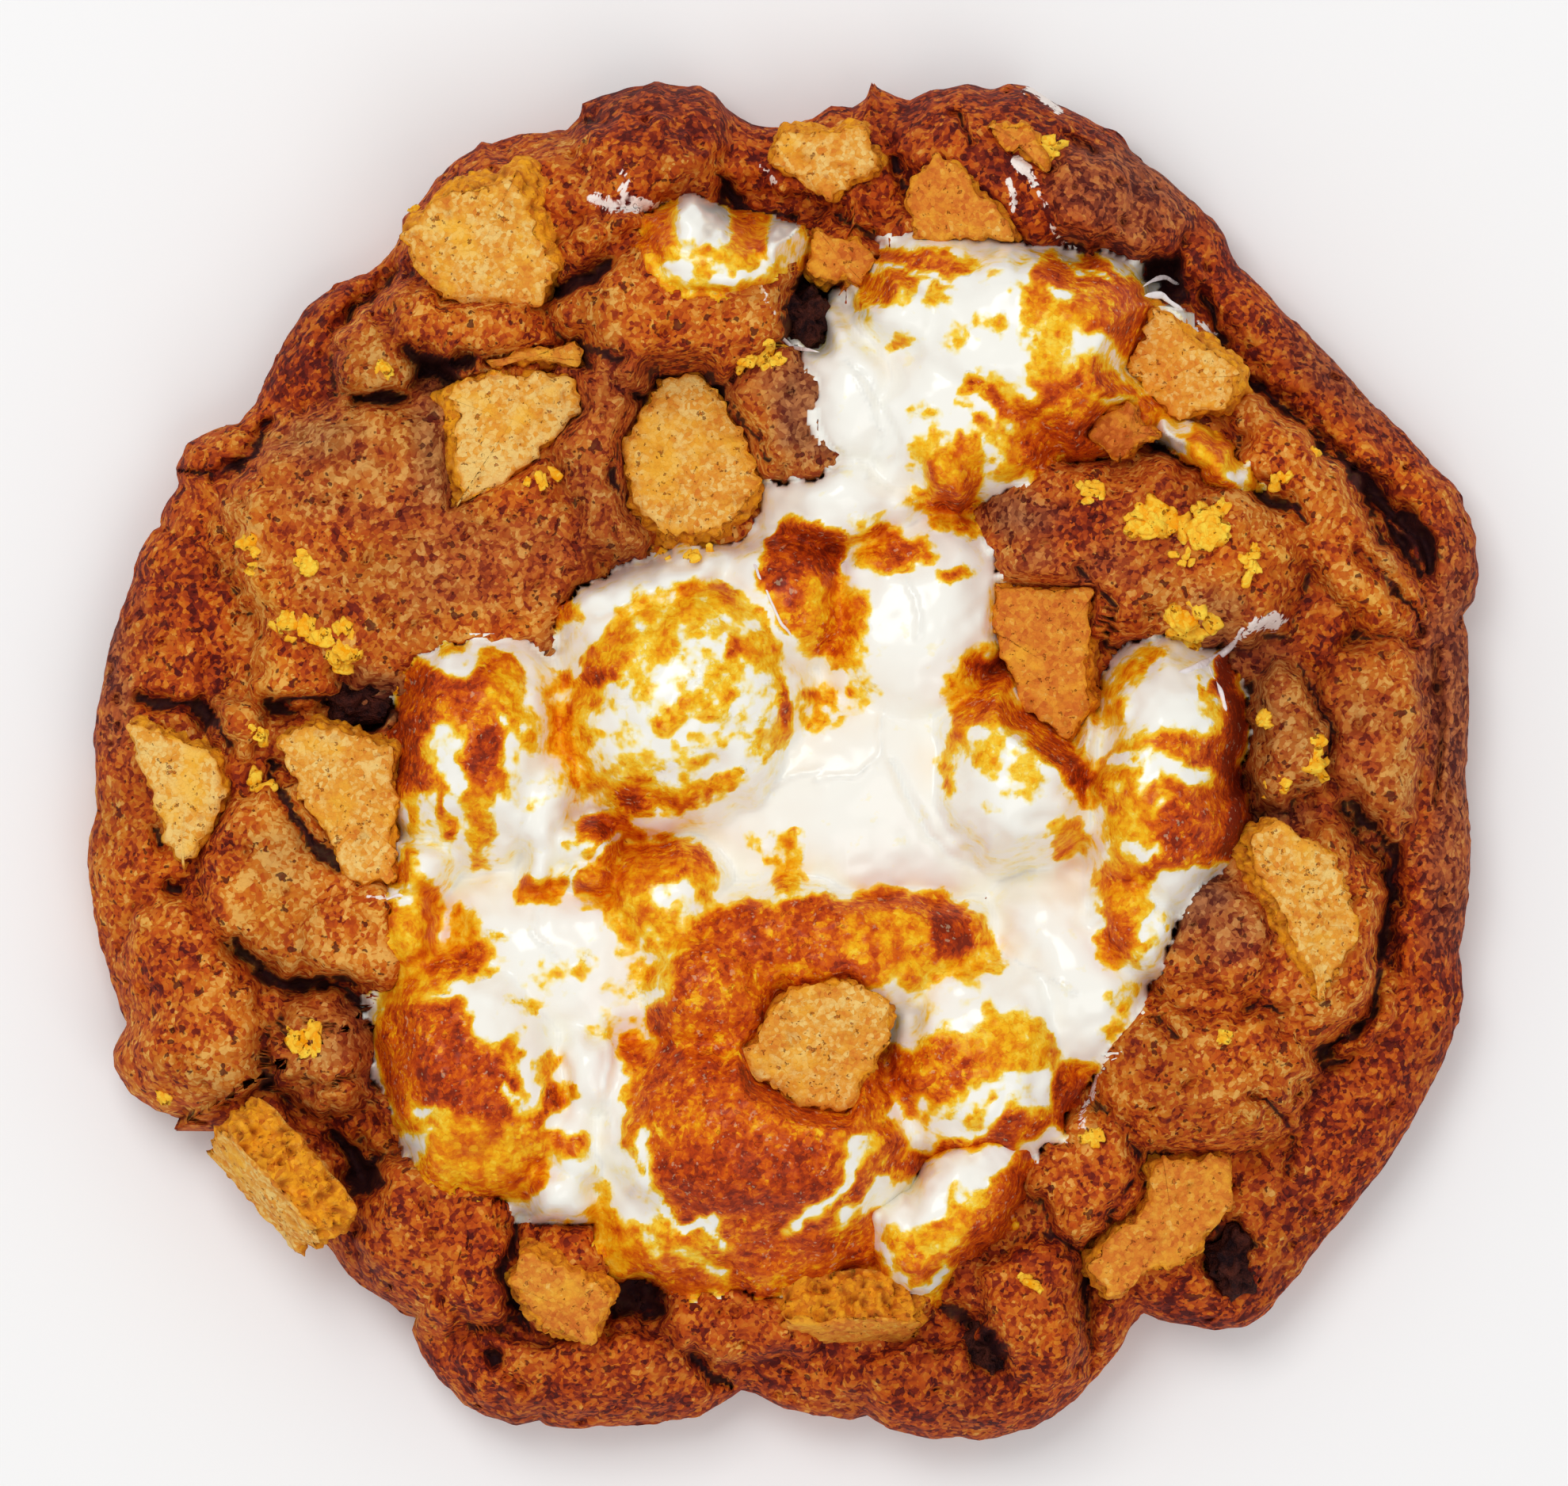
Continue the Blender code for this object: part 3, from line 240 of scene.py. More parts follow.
# Creases in the white marshmallow, and thin ridges where the depth is below zero
FOLDS: tuple[Groove, ...] = tuple(Groove(*row) for row in (
    (0.5, 0.4, ((8, -0.2), (9.4, -3.8), (12, -7), (15, -8.2), (17.4, -7.8))),
    (-0.28, 0.16, ((7, 3), (7, 0.3), (5.5, -0.8), (2.4, -1.5))),
    (-0.28, 0.16, ((-2.7, -3.5), (-1.3, -2.1), (0.4, -1.3), (2.4, -0.7))),
    (-0.25, 0.15, ((0.3, 6.4), (-0.2, 4), (0.4, 2), (-0.4, 0.2))),
    (-0.3, 0.16, ((15.5, -13.7), (17, -15), (19, -15.6), (21, -16.6))),
    (-0.3, 0.16, ((-13.2, 10.4), (-11, 11.4), (-10, 12.8))),
    (-0.25, 0.15, ((9.4, 9), (9.8, 11.4), (8.8, 13.2), (9.4, 15))),
    (-0.25, 0.16, ((-17.4, -9.8), (-17.8, -12), (-16.2, -14.4))),
    (-0.3, 0.16, ((-13, -18.4), (-12.4, -21.4), (-12.8, -25), (-12, -28))),
    (-0.25, 0.15, ((5, 27.4), (6.4, 25), (7, 22.4), (6, 20.6))),
    (0.35, 0.3, ((4, 28.6), (6.2, 27.2), (7.6, 24.4), (8.2, 21.4))),
    (-0.25, 0.15, ((3.6, 22.4), (5, 21.4), (7.6, 19.6))),
))

# Deep holes between the lumps, which the solid has too
HOLES: tuple[Lump, ...] = tuple(Lump(*row) for row in (
    (1.8, 32, 1.9, 2.3, 0, 5), (-10.6, -38.6, 2.2, 1.7, 0, 4.5), (31.8, -35.6, 1.7, 2.5, 15, 4),
    (14.5, -42.1, 0.9, 1.6, 30, 3.2), (45.6, 15.6, 1, 1.8, 20, 1.6), (-30.2, 3.4, 2.2, 1.1, 0, 3.5),
    (-24.2, 28, 1.8, 1, 0, 2.2), (27.4, 34.2, 1.9, 1.6, 0, 3.5),
))

# Where the dough's colour departs from its lump's: dark smooth rim, tan edges
TAN_PATCHES: tuple[Patch, ...] = tuple(Patch(*row) for row in (
    (-45.5, 8, 5.5, 10.5, 0.36, 10), (-46.6, -8, 4.6, 9, 0.7), (-38.5, 13, 1.4, 9, 0.98),
    (-33, 24.5, 4, 1.6, 0.8), (-29, 12, 5, 4, 0.66), (-41, 21.5, 4, 2.4, 0.4, 10),
    (-35, 29, 3.6, 5, 0.28, -40), (-20.5, 12, 4, 3, 0.6), (-12, 14.5, 4, 3, 0.5, 30),
    (-18, 35.2, 5.6, 1.6, 0.3), (-8, 28.6, 6.5, 1.6, 0.3), (-20, 32.6, 5, 1.6, 0.65),
    (34, 36, 6.5, 4.4, 0.24, -45), (43, 25, 7.5, 4, 0.3, -45), (47.2, 12, 2, 7, 0.34),
    (30, 37, 4, 3, 0.12, -45), (35, 16.8, 5, 1.6, 0.75, -57), (30.5, 11.4, 3, 2.4, 0.7, -30),
    (20.5, 17.6, 3.4, 1.6, 0.3, -10), (23, 10.4, 2.6, 2.4, 0.45), (46.2, -14, 2.8, 8, 0.28),
    (41, -27, 4.6, 8.4, 0.26, -35), (37.5, -12, 2.2, 8, 0.62), (32, -27.6, 5, 1.6, 0.42),
    (22.8, -25.4, 2.6, 3, 0.7), (-20, -44, 6.6, 4.4, 0.28), (-25, -40.2, 3, 1.6, 0.45, -30),
    (-29, -36, 2, 3, 0.3), (-27, -28.5, 4.5, 2.6, 0.5), (-31.5, -12.5, 4.8, 3.6, 0.86),
    (-40, -8, 3.2, 4, 0.4), (-45.5, -16, 3, 4, 0.45), (-9.6, 46.4, 5.4, 2.8, 0.08), (-36.6, -9, 3, 4.4, 1),
    (42.4, 2.6, 3.4, 6.6, 0.68), (-29, 22, 4.6, 3.4, 0.8), (13, -45.4, 7, 3.6, 0.26),
    (31, -38.8, 4.6, 2.6, 0.06, 20),
))
# Where chocolate stains the dough
STAIN_PATCHES: tuple[Patch, ...] = tuple(Patch(*row) for row in (
    (-30, 21.4, 6.4, 4.6, 0.3), (-24.4, 22.6, 2.4, 4.4, 0.75), (-33.5, 22.6, 3, 1.8, 0.6),
    (-22, 14, 5, 3.4, 0.35, 10), (-17.5, 14, 4, 2.4, 0.3, 30), (-16, 8.4, 3, 1.2, 0.5, 30),
    (2.4, 25.4, 3.4, 3.6, 0.95), (-2.5, 22.8, 2, 2.6, 0.1), (-12.2, 25.6, 2.6, 3.4, 0.35),
    (16.4, 17.9, 2.6, 1.4, 1, -10), (17.8, 14.6, 1.8, 1.2, 0.6), (22.4, 13.6, 2.4, 1.4, 0.5),
    (31.2, 8.6, 2.2, 3.2, 0.7), (34.8, 4.6, 1.6, 3.6, 0.5), (29.6, -10.2, 3.6, 2.4, 1, 20),
    (31.8, -12.6, 2.2, 1.8, 0.6), (33.4, -4.4, 4, 1.4, 0.8), (48, 2, 1.8, 12, 0.7), (47.5, -8, 1.6, 5, 0.5),
    (42, -1, 3, 5, 0.35), (40.5, 27.5, 5, 2, 0.4, -45), (-48.2, 6.5, 1.4, 6, 0.6),
    (24.4, 40.4, 4.6, 3, 0.55, -20), (-24, 4.6, 3, 2.4, 0.8), (-29, 4.4, 3, 1.6, 0.9),
    (-30.4, -19.2, 2.4, 1.8, 0.5), (4, 13.5, 3, 3, 0.6),
))
# White smears of marshmallow on the dough
SMEARS: tuple[Patch | Stroke, ...] = marks(
    (-12.8, 40, 1.2, 0.6, 0.62, -20), (-10.6, 39.9, 1.4, 0.6, 0.66, -10),
    (0.2, 0.75, ((-11.6, 42.4), (-11, 41.6), (-11.4, 41), (-10.4, 40.2))),
    (0.25, 0.6, ((-9.6, 39.9), (-8.4, 39.6), (-7.8, 39))),
    (0.2, 0.5, ((-1.8, 35.4), (-1.2, 33.6), (-0.6, 32.2))),
    (0.16, 0.75, ((-2, 42.8), (-1.2, 42), (-0.8, 41.2))),
    (0.3, 0.7, ((17.6, 48.2), (18.6, 47.4), (20, 46.6))), (17.2, 42.8, 0.7, 0.5, 0.9, -50),
    (0.26, 0.8, ((16.8, 43.2), (17.6, 42.2), (18, 41.4))),
    (0.22, 0.7, ((16.4, 41.6), (16.7, 40.6), (16.5, 39.6))),
    (0.14, 0.62, ((18.2, 40.8), (19, 38.9), (19.6, 37.4), (21, 36.2))),
    (0.2, 0.7, ((22.6, 35.9), (24.2, 35.3), (25.4, 34.7))),
    (0.16, 0.75, ((28.6, 32), (30, 31.6), (31, 30.4))),
    (0.25, 0.8, ((-29.6, -10), (-28.2, -9.5), (-26.6, -9.6))),
    (0.2, 0.7, ((-23.4, -26.2), (-22.8, -28), (-21.8, -30.2))),
    (0.22, 0.75, ((26.2, -8.6), (27.8, -9.4), (28.9, -10.2))),
    (0.2, 0.7, ((22.8, -20.6), (22.2, -23.4), (21.4, -26.4))),
    (0.3, 0.75, ((31.8, 8), (33, 9.2), (34.4, 10.2), (35.4, 9.6))),
    (0.25, 0.8, ((34.2, 9.8), (35, 10.4), (36.4, 10))),
)


def lattice_value(column: Array, row: Array, seed: int) -> Array:
    """Pseudo-random value from 0 to 1 for each point of a whole-number lattice."""
    mixed = (column * 374761393 + row * 668265263 + seed * 974711) & 0xFFFFFFFF
    mixed = ((mixed ^ (mixed >> 13)) * 1274126177) & 0xFFFFFFFF
    return ((mixed ^ (mixed >> 16)) & 0xFFFF) / 65535.0


def noise(x: Array, y: Array, cell: float, seed: int) -> Array:
    """Smooth unevenness from -1 to 1: random values on a lattice, blended by 3t^2 - 2t^3.

    Args:
        x, y: Places in plan, in millimetres.
        cell: Distance between bumps.
        seed: Picks the pattern.

    Returns:
        A value for each place.
    """
    column, row = np.floor(x / cell).astype(np.int64), np.floor(y / cell).astype(np.int64)
    across, along = x / cell - column, y / cell - row
    across, along = across * across * (3 - 2 * across), along * along * (3 - 2 * along)
    near = lattice_value(column, row, seed) * (1 - across)
    near = near + lattice_value(column + 1, row, seed) * across
    far = lattice_value(column, row + 1, seed) * (1 - across)
    far = far + lattice_value(column + 1, row + 1, seed) * across
    return 2 * (near * (1 - along) + far * along) - 1


def scattered(x: Array, y: Array, cell: float, seed: int) -> tuple[Array, Array]:
    """Nearest of points scattered one to a square cell.

    Args:
        x, y: Places in plan, in millimetres.
        cell: Side of the square cells.
        seed: Picks the pattern.

    Returns:
        Distance to the nearest point in cells, and that point's own value from 0 to 1.
    """
    column, row = np.floor(x / cell).astype(np.int64), np.floor(y / cell).astype(np.int64)
    nearest = np.full(np.shape(x), np.inf)
    value = np.zeros(np.shape(x))
    for step_x in (-1, 0, 1):
        for step_y in (-1, 0, 1):
            here, there = column + step_x, row + step_y
            across = x / cell - here - lattice_value(here, there, seed)
            along = y / cell - there - lattice_value(here, there, seed + 1)
            distance = np.hypot(across, along)
            closer = distance < nearest
            nearest = np.where(closer, distance, nearest)
            value = np.where(closer, lattice_value(here, there, seed + 2), value)
    return nearest, value


def smooth_step(value: Array, low: float, high: float) -> Array:
    """0 below low, 1 above high and 3t^2 - 2t^3 between."""
    share = np.clip((value - low) / (high - low), 0, 1)
    return share * share * (3 - 2 * share)


def softened(grid: Array, reach: int) -> Array:
    """Mean over a square of grid points that reaches so many each way, done by running sums."""
    for axis in (0, 1):
        width = [(0, 0), (0, 0)]
        width[axis] = (reach + 1, reach)
        total = np.cumsum(np.pad(grid, width, mode="edge"), axis=axis)
        count = grid.shape[axis]
        high = np.take(total, np.arange(count) + 2 * reach + 1, axis=axis)
        low = np.take(total, np.arange(count), axis=axis)
        grid = (high - low) / (2 * reach + 1)
    return grid


def lump_reach(x: Array, y: Array, lump: Lump | Patch) -> Array:
    """How far places lie from a lump's middle: 1 on its outline, a rounded rectangle."""
    turn = math.radians(lump.turn)
    along = (x - lump.x) * math.cos(turn) + (y - lump.y) * math.sin(turn)
    across = (y - lump.y) * math.cos(turn) - (x - lump.x) * math.sin(turn)
    along, across = np.abs(along / lump.half_length), np.abs(across / lump.half_width)
    return (along ** 2.6 + across ** 2.6) ** (1 / 2.6)


def route_distance(x: Array, y: Array, route: tuple[Point, ...]) -> Array:
    """Distance of places from a route of straight stretches."""
    nearest = np.full(np.shape(x), np.inf)
    for (x0, y0), (x1, y1) in zip(route, route[1:]):
        length2 = (x1 - x0) ** 2 + (y1 - y0) ** 2
        share = np.clip(((x - x0) * (x1 - x0) + (y - y0) * (y1 - y0)) / length2, 0, 1)
        nearest = np.minimum(nearest, np.hypot(x - x0 - share * (x1 - x0), y - y0 - share * (y1 - y0)))
    return nearest


def polygon_distance(x: Array, y: Array, corners: Array) -> Array:
    """Distance of places from a polygon's sides, below zero inside it."""
    closed = np.vstack([corners, corners[:1]])
    distance = route_distance(x, y, tuple(map(tuple, closed)))
    inside = np.zeros(np.shape(x), dtype=bool)
    for (x0, y0), (x1, y1) in zip(closed, closed[1:]):
        if y0 != y1:
            crosses = (y0 > y) != (y1 > y)
            inside ^= crosses & (x < (x1 - x0) * (y - y0) / (y1 - y0) + x0)
    return np.where(inside, -distance, distance)


def ragged(x: Array, y: Array, depth: float, seed: int) -> tuple[Array, Array]:
    """Places pushed about by three sizes of noise, so that what is drawn there gets a torn edge."""
    moved_x, moved_y = x, y
    for cell, share in ((2.3, 1.0), (1.05, 0.6), (0.5, 0.35)):
        moved_x = moved_x + depth * share * noise(x, y, cell, seed)
        moved_y = moved_y + depth * share * noise(x, y, cell, seed + 1)
    return moved_x, moved_y


def painted(base: Array, x: Array, y: Array, marks: tuple[Patch | Stroke, ...], soft: float) -> Array:
    """Paints marks over a field, each one taking the field to its level inside its outline.

    Args:
        base: The field before painting.
        x, y: Places in plan, already ragged.
        marks: Patches and strokes, painted in order.
        soft: Greatest width of a mark's edge in millimetres.

    Returns:
        The painted field.
    """
    for mark in marks:
        if isinstance(mark, Patch):
            half = min(mark.half_length, mark.half_width)
            inside = (1 - lump_reach(x, y, mark)) * half
        else:
            half = mark.half_width
            inside = half - route_distance(x, y, mark.route)
        edge = min(soft, 2 * half) / 2
        base = base + (mark.level - base) * smooth_step(inside, -edge, edge)
    return base


@dataclass(frozen=True)
class Terrain:
    """Height of dough and marshmallow over the floor, as the solids have it and finer."""

    rim_top: float = 10.6
    plateau_top: float = 12.4
    rim_width: float = 8.0
    rim_step: float = 2.0
    waist: float = 4.2
    edge_round: float = 6.5
    dough_fall: float = 5.2
    melt_fall: float = 7.0
    melt_floor: float = 11.3
    melt_sink: float = 1.5
    tear: float = 0.6
    steepness: float = 5.2
    groove_width: float = 0.8

    def edge_radius(self, angle: Array) -> Array:
        """Distance of the dough's edge from the centre, by straight lines between its points."""
        points = np.array(OUTLINE)
        bearings = np.arctan2(points[:, 1], points[:, 0])
        order = np.argsort(bearings)
        return np.interp(angle, bearings[order], np.hypot(*points[order].T), period=2 * math.pi)

    def warped(self, x: Array, y: Array, tear: float) -> tuple[Array, Array]:
        """Places pushed about, widely as in the solids and finely by tear."""
        if tear:
            x, y = ragged(x, y, tear, 61)
        return x + 0.8 * noise(x, y, 5.5, 11), y + 0.8 * noise(x, y, 5.5, 12)

    def melt(self, x: Array, y: Array, lumps: tuple[Lump, ...], tear: float = 0.0) -> Array:
        """Marshmallow: the highest of its lumps, each its top less fall times reach cubed."""
        lump_x, lump_y = self.warped(x, y, 0.8 * tear)
        height = np.full(np.shape(x), -30.0)
        for lump in lumps:
            reach = lump_reach(lump_x, lump_y, lump)
            height = np.maximum(height, lump.top - self.melt_fall * reach ** 3)
        for hole in HOLES if tear else ():
            height = height - 9 * np.exp(-lump_reach(lump_x, lump_y, hole) ** 6)
        return height + 0.3 * noise(x, y, 4.0, 21)

    def bare_dough(self, x: Array, y: Array, tear: float = 0.0) -> tuple[Array, Array, Array]:
        """Dough before marshmallow presses it down, with the tan and stain of the lump on top.

        The height is a rim with a step up to a plateau, or the highest lump, each its top less
        fall times its reach to the power steepness, less the crevices and holes.
        """
        inwards = self.edge_radius(np.arctan2(y, x)) - np.hypot(x, y)
        step = smooth_step(inwards, self.rim_width, self.rim_width + self.rim_step)
        height = self.rim_top + (self.plateau_top - self.rim_top) * step
        tan, stain = 0.36 + 0.1 * step, 0.05 * step
        lump_x, lump_y = self.warped(x, y, tear)
        for lump in DOUGH_LUMPS:
            top = lump.top - self.dough_fall * lump_reach(lump_x, lump_y, lump) ** self.steepness
            above = top > height
            height = np.where(above, top, height)
            tan, stain = np.where(above, lump.tan, tan), np.where(above, lump.stain, stain)
        for groove in CREVICES:
            distance = route_distance(*ragged(x, y, 0.6 * (tear > 0), 51), groove.route)
            narrow = distance / groove.half_width / self.groove_width
            height = height - groove.depth * np.exp(-narrow ** 2)
        hole_x, hole_y = ragged(x, y, 0.7 * (tear > 0), 53)
        for hole in HOLES:
            height = height - hole.top * np.exp(-lump_reach(hole_x, hole_y, hole) ** 4)
        height = height + 0.45 * (noise(x, y, 4.0, 31) + 0.5 * noise(x, y, 2.0, 32))
        return height, tan, stain

    def dough(self, x: Array, y: Array, tear: float = 0.0) -> Array:
        """Dough: sunk under the marshmallow and rounded to its waist at the edge."""
        height = self.bare_dough(x, y, tear)[0]
        cover = np.clip(self.melt(x, y, MELT_LUMPS, tear) - height, 0, None)
        sunk = np.maximum(np.minimum(height, self.melt_floor), height - self.melt_sink * cover)
        height = np.where(cover > 0, sunk, height)
        inwards = self.edge_radius(np.arctan2(y, x)) - np.hypot(x, y)
        outer = np.clip(1 - inwards / self.edge_round, 0, 1)
        return self.waist + (height - self.waist) * np.sqrt(1 - outer * outer)

    def surface(self, x: Array, y: Array) -> Array:
        """Highest of the dough and every marshmallow, which the crackers lie in."""
        height = self.dough(x, y)
        for lumps in (MELT_LUMPS, FRONT_LUMPS, BACK_LUMPS, SLIVER_LUMPS):
            height = np.maximum(height, self.melt(x, y, lumps))
        return height


TERRAIN = Terrain()
SOLID_TERRAIN = Terrain(steepness=4.0, groove_width=1.0)


@dataclass(frozen=True)
class Cracker:
    """A flat piece of broken cracker: rise over the surface, lean and its direction, corners.

    break_towards and break_width say which broken side slopes so that it shows from above.
    """

    rise: float
    lean: float
    towards: float
    corners: tuple[Point, ...]
    bake: Bake = Bake.GOLDEN
    break_towards: float = 0.0
    break_width: float = 0.5
    thickness: float = CRACKER_THICKNESS

    def centre(self) -> Array:
        """Mean of the corners in plan."""
        return np.array(self.corners).mean(axis=0)

    def placing(self) -> Matrix:
        """Place of the piece, half sunk in the surface under it, in millimetres."""
        centre = self.centre()
        around = np.array(self.corners) * 0.5 + centre * 0.5
        height = float(np.mean(SOLID_TERRAIN.surface(around[:, 0], around[:, 1])))
        height += self.rise - self.thickness / 2
        direction = math.radians(self.towards)
        axis = Vector((-math.sin(direction), math.cos(direction), 0))
        return Matrix.Translation((*centre, height)) @ Matrix.Rotation(math.radians(self.lean), 4, axis)

    def local_corners(self) -> Array:
        """Corners about the centre, counter-clockwise."""
        points = np.array(self.corners) - self.centre()
        following = np.roll(points, -1, axis=0)
        area = np.sum(points[:, 0] * following[:, 1] - following[:, 0] * points[:, 1])
        return points if area > 0 else points[::-1]

    def ceiling(self, x: Array, y: Array) -> Array:
        """Greatest height of what may lie round the piece: under its face, free further out."""
        placing = self.placing()
        place, normal = placing.translation, placing.to_3x3() @ Vector((0, 0, 1))
        slope = (normal.x * (x - place.x) + normal.y * (y - place.y)) / normal.z
        face = place.z + self.thickness / 2 / normal.z - slope
        outside = polygon_distance(x, y, np.array(self.corners))
        return face - 1.5 + 3.6 * np.clip(outside + 0.1, 0, None)


@dataclass(frozen=True)
class UprightCracker:
    """A piece of cracker on edge, its top leaning inwards: centre, length, depth, turn, lean."""

    x: float
    y: float
    z: float
    length: float
    depth: float
    turn: float
    lean: float
    bake: Bake = Bake.AMBER
    break_towards: float = 90.0
    break_width: float = 0.4
    thickness: float = CRACKER_THICKNESS

    def placing(self) -> Matrix:
        """Turned in plan, then tipped over its long side, in millimetres."""
        turn = Matrix.Rotation(math.radians(self.turn), 4, "Z")
        lean = Matrix.Rotation(math.radians(self.lean), 4, "X")
        return Matrix.Translation((self.x, self.y, self.z)) @ turn @ lean

    def local_corners(self) -> Array:
        """A rectangle with broken corners."""
        shares = ((-0.9, -1), (0.84, -1), (0.96, -0.5), (1, 0.62), (0.74, 0.96), (0.2, 1.02), (-0.3, 0.92),
                  (-0.8, 0.98), (-1, 0.5))
        return np.array(shares) * (self.length / 2, self.depth / 2)


CRACKERS: tuple[Cracker, ...] = (
    Cracker(2.3, 13, 225, ((-27.1, 38), (-23.9, 40.9), (-18.8, 42.6), (-15.7, 35.9), (-17.5, 33.2),
                           (-24.5, 33.1)), Bake.GOLDEN, 50, 1.7),
    Cracker(2.2, 9, 0, ((-24.8, 26.2), (-21.8, 27.8), (-15.2, 27.6), (-14.7, 25.2), (-18.6, 21),
                        (-23.9, 18.1)), Bake.PALE, 190, 1.5),
    Cracker(0.7, 6, 90, ((-21.6, 28.6), (-14.8, 30.2), (-14.2, 28.3), (-20.9, 28.1)), Bake.AMBER),
    Cracker(2.4, 8, 90, ((-9, 27.4), (-6, 27.6), (-2.8, 23.2), (-1.6, 19.5), (-4.5, 15.9), (-8.7, 15.1),
                         (-11.1, 18), (-11.4, 23)), Bake.GOLDEN, 270, 1.3),
    Cracker(2.2, 8, 240, ((0, 45.2), (5.8, 45.5), (7.2, 42.8), (3.7, 40.1), (-1.2, 43)),
                          Bake.GOLDEN, 290, 0.7),
    Cracker(2.2, 8, 200, ((11, 43.7), (15.9, 39.9), (16.9, 37.4), (9.3, 37.6), (9.1, 41.2)),
                          Bake.AMBER, 0, 0.5),
    Cracker(1, 6, 90, ((14.3, 45.7), (18, 45.6), (19, 42.2), (16.5, 43.3)), Bake.AMBER),
    Cracker(1.6, 10, 240, ((26.5, 32.9), (33.2, 28), (32.2, 25.4), (28.3, 24.5), (24.7, 28.2)),
                           Bake.GOLDEN, 320, 1),
    Cracker(1.4, 8, 270, ((21.8, 23.4), (23.6, 25.3), (25.4, 26), (25.9, 24.6), (27.3, 23.5), (25.6, 22.8),
                          (24.2, 21.6)), Bake.BROWN),
    Cracker(1.6, 8, 180, ((15.4, 12.7), (22.2, 12.2), (22.1, 3.8), (20.8, 1.3), (17.6, 3.6), (15.2, 9)),
                          Bake.AMBER, 300, 0.6),
    Cracker(2.2, 14, 10, ((32.6, -6), (35, -4.2), (39.8, -7), (40.9, -12.5), (38.1, -17.8), (34.4, -10.5)),
                          Bake.GOLDEN, 205, 0.8),
    Cracker(2, 8, 315, ((26.8, -28.2), (32, -28.2), (32.6, -31.8), (30, -33.4), (29.6, -35.3),
                        (23.4, -38.5), (21.6, -36), (25.7, -31.5)), Bake.AMBER, 135, 0.5),
    Cracker(1.8, 16, 250, ((-19.8, -37.2), (-18.3, -34.9), (-12.2, -37.6), (-13.5, -42), (-17.5, -40.7)),
                           Bake.AMBER, 220, 1.2),
    Cracker(1.8, 6, 270, ((0.5, -16.2), (4.6, -15.2), (7.4, -17.4), (7, -21), (4.5, -25.2), (1.2, -24.6),
                          (-1.9, -22.8), (-2.8, -20.4)), Bake.GOLDEN, 270, 0.7),
    Cracker(2.2, 8, 180, ((-36.3, 1.4), (-33.5, 3), (-27.7, 1.2), (-27.7, -8.9), (-30.5, -8.7),
                          (-34.6, -3)), Bake.GOLDEN, 90, 0.4),
    Cracker(2, 8, 200, ((-46.9, 2.9), (-40.5, 1.2), (-39.4, -2.2), (-42.8, -8), (-44.2, -6)),
                        Bake.PALE, 30, 0.6),
    Cracker(1.6, 8, 60, ((1.4, 35.4), (2.6, 34.2), (4.4, 34.7), (5.6, 33.8), (6.3, 35.8), (5.2, 37.5),
                         (3.6, 37.1), (2.2, 38.2)), Bake.AMBER),
)
UPRIGHT_CRACKERS: tuple[UprightCracker, ...] = (
    UprightCracker(-36.1, -30, 10.6, 10.6, 8, -49, 73, Bake.GOLDEN),
    UprightCracker(4.2, -39.7, 10.9, 10.8, 8, 0, 71),
)


def under_crackers(x: Array, y: Array, height: Array) -> Array:
    """Height kept under the crackers' faces, so that each one shows whole."""
    for cracker in CRACKERS:
        height = np.minimum(height, cracker.ceiling(x, y))
    return height


class Flow:
    """A number, colour or vector inside a material, with the operators of arithmetic."""

    def __init__(self, graph: "Graph", socket: bpy.types.NodeSocket) -> None:
        """Wraps an output socket of a graph's node."""
        self.graph = graph
        self.socket = socket

    def __add__(self, other: "Flow | float") -> "Flow":
        """Sum."""
        return self.graph.maths("ADD", self, other)

    def __radd__(self, other: float) -> "Flow":
        """Sum with a number first."""
        return self.graph.maths("ADD", other, self)

    def __sub__(self, other: "Flow | float") -> "Flow":
        """Difference."""
        return self.graph.maths("SUBTRACT", self, other)

    def __rsub__(self, other: float) -> "Flow":
        """Difference from a number."""
        return self.graph.maths("SUBTRACT", other, self)

    def __mul__(self, other: "Flow | float") -> "Flow":
        """Product."""
        return self.graph.maths("MULTIPLY", self, other)

    def __rmul__(self, other: float) -> "Flow":
        """Product with a number first."""
        return self.graph.maths("MULTIPLY", other, self)

    def step(self, low: float, high: float) -> "Flow":
        """0 below low and 1 above high, smooth between."""
        values = {"Value": self, "From Min": low, "From Max": high}
        settings = {"interpolation_type": "SMOOTHSTEP", "clamp": True}
        return self.graph.node("ShaderNodeMapRange", settings, values)


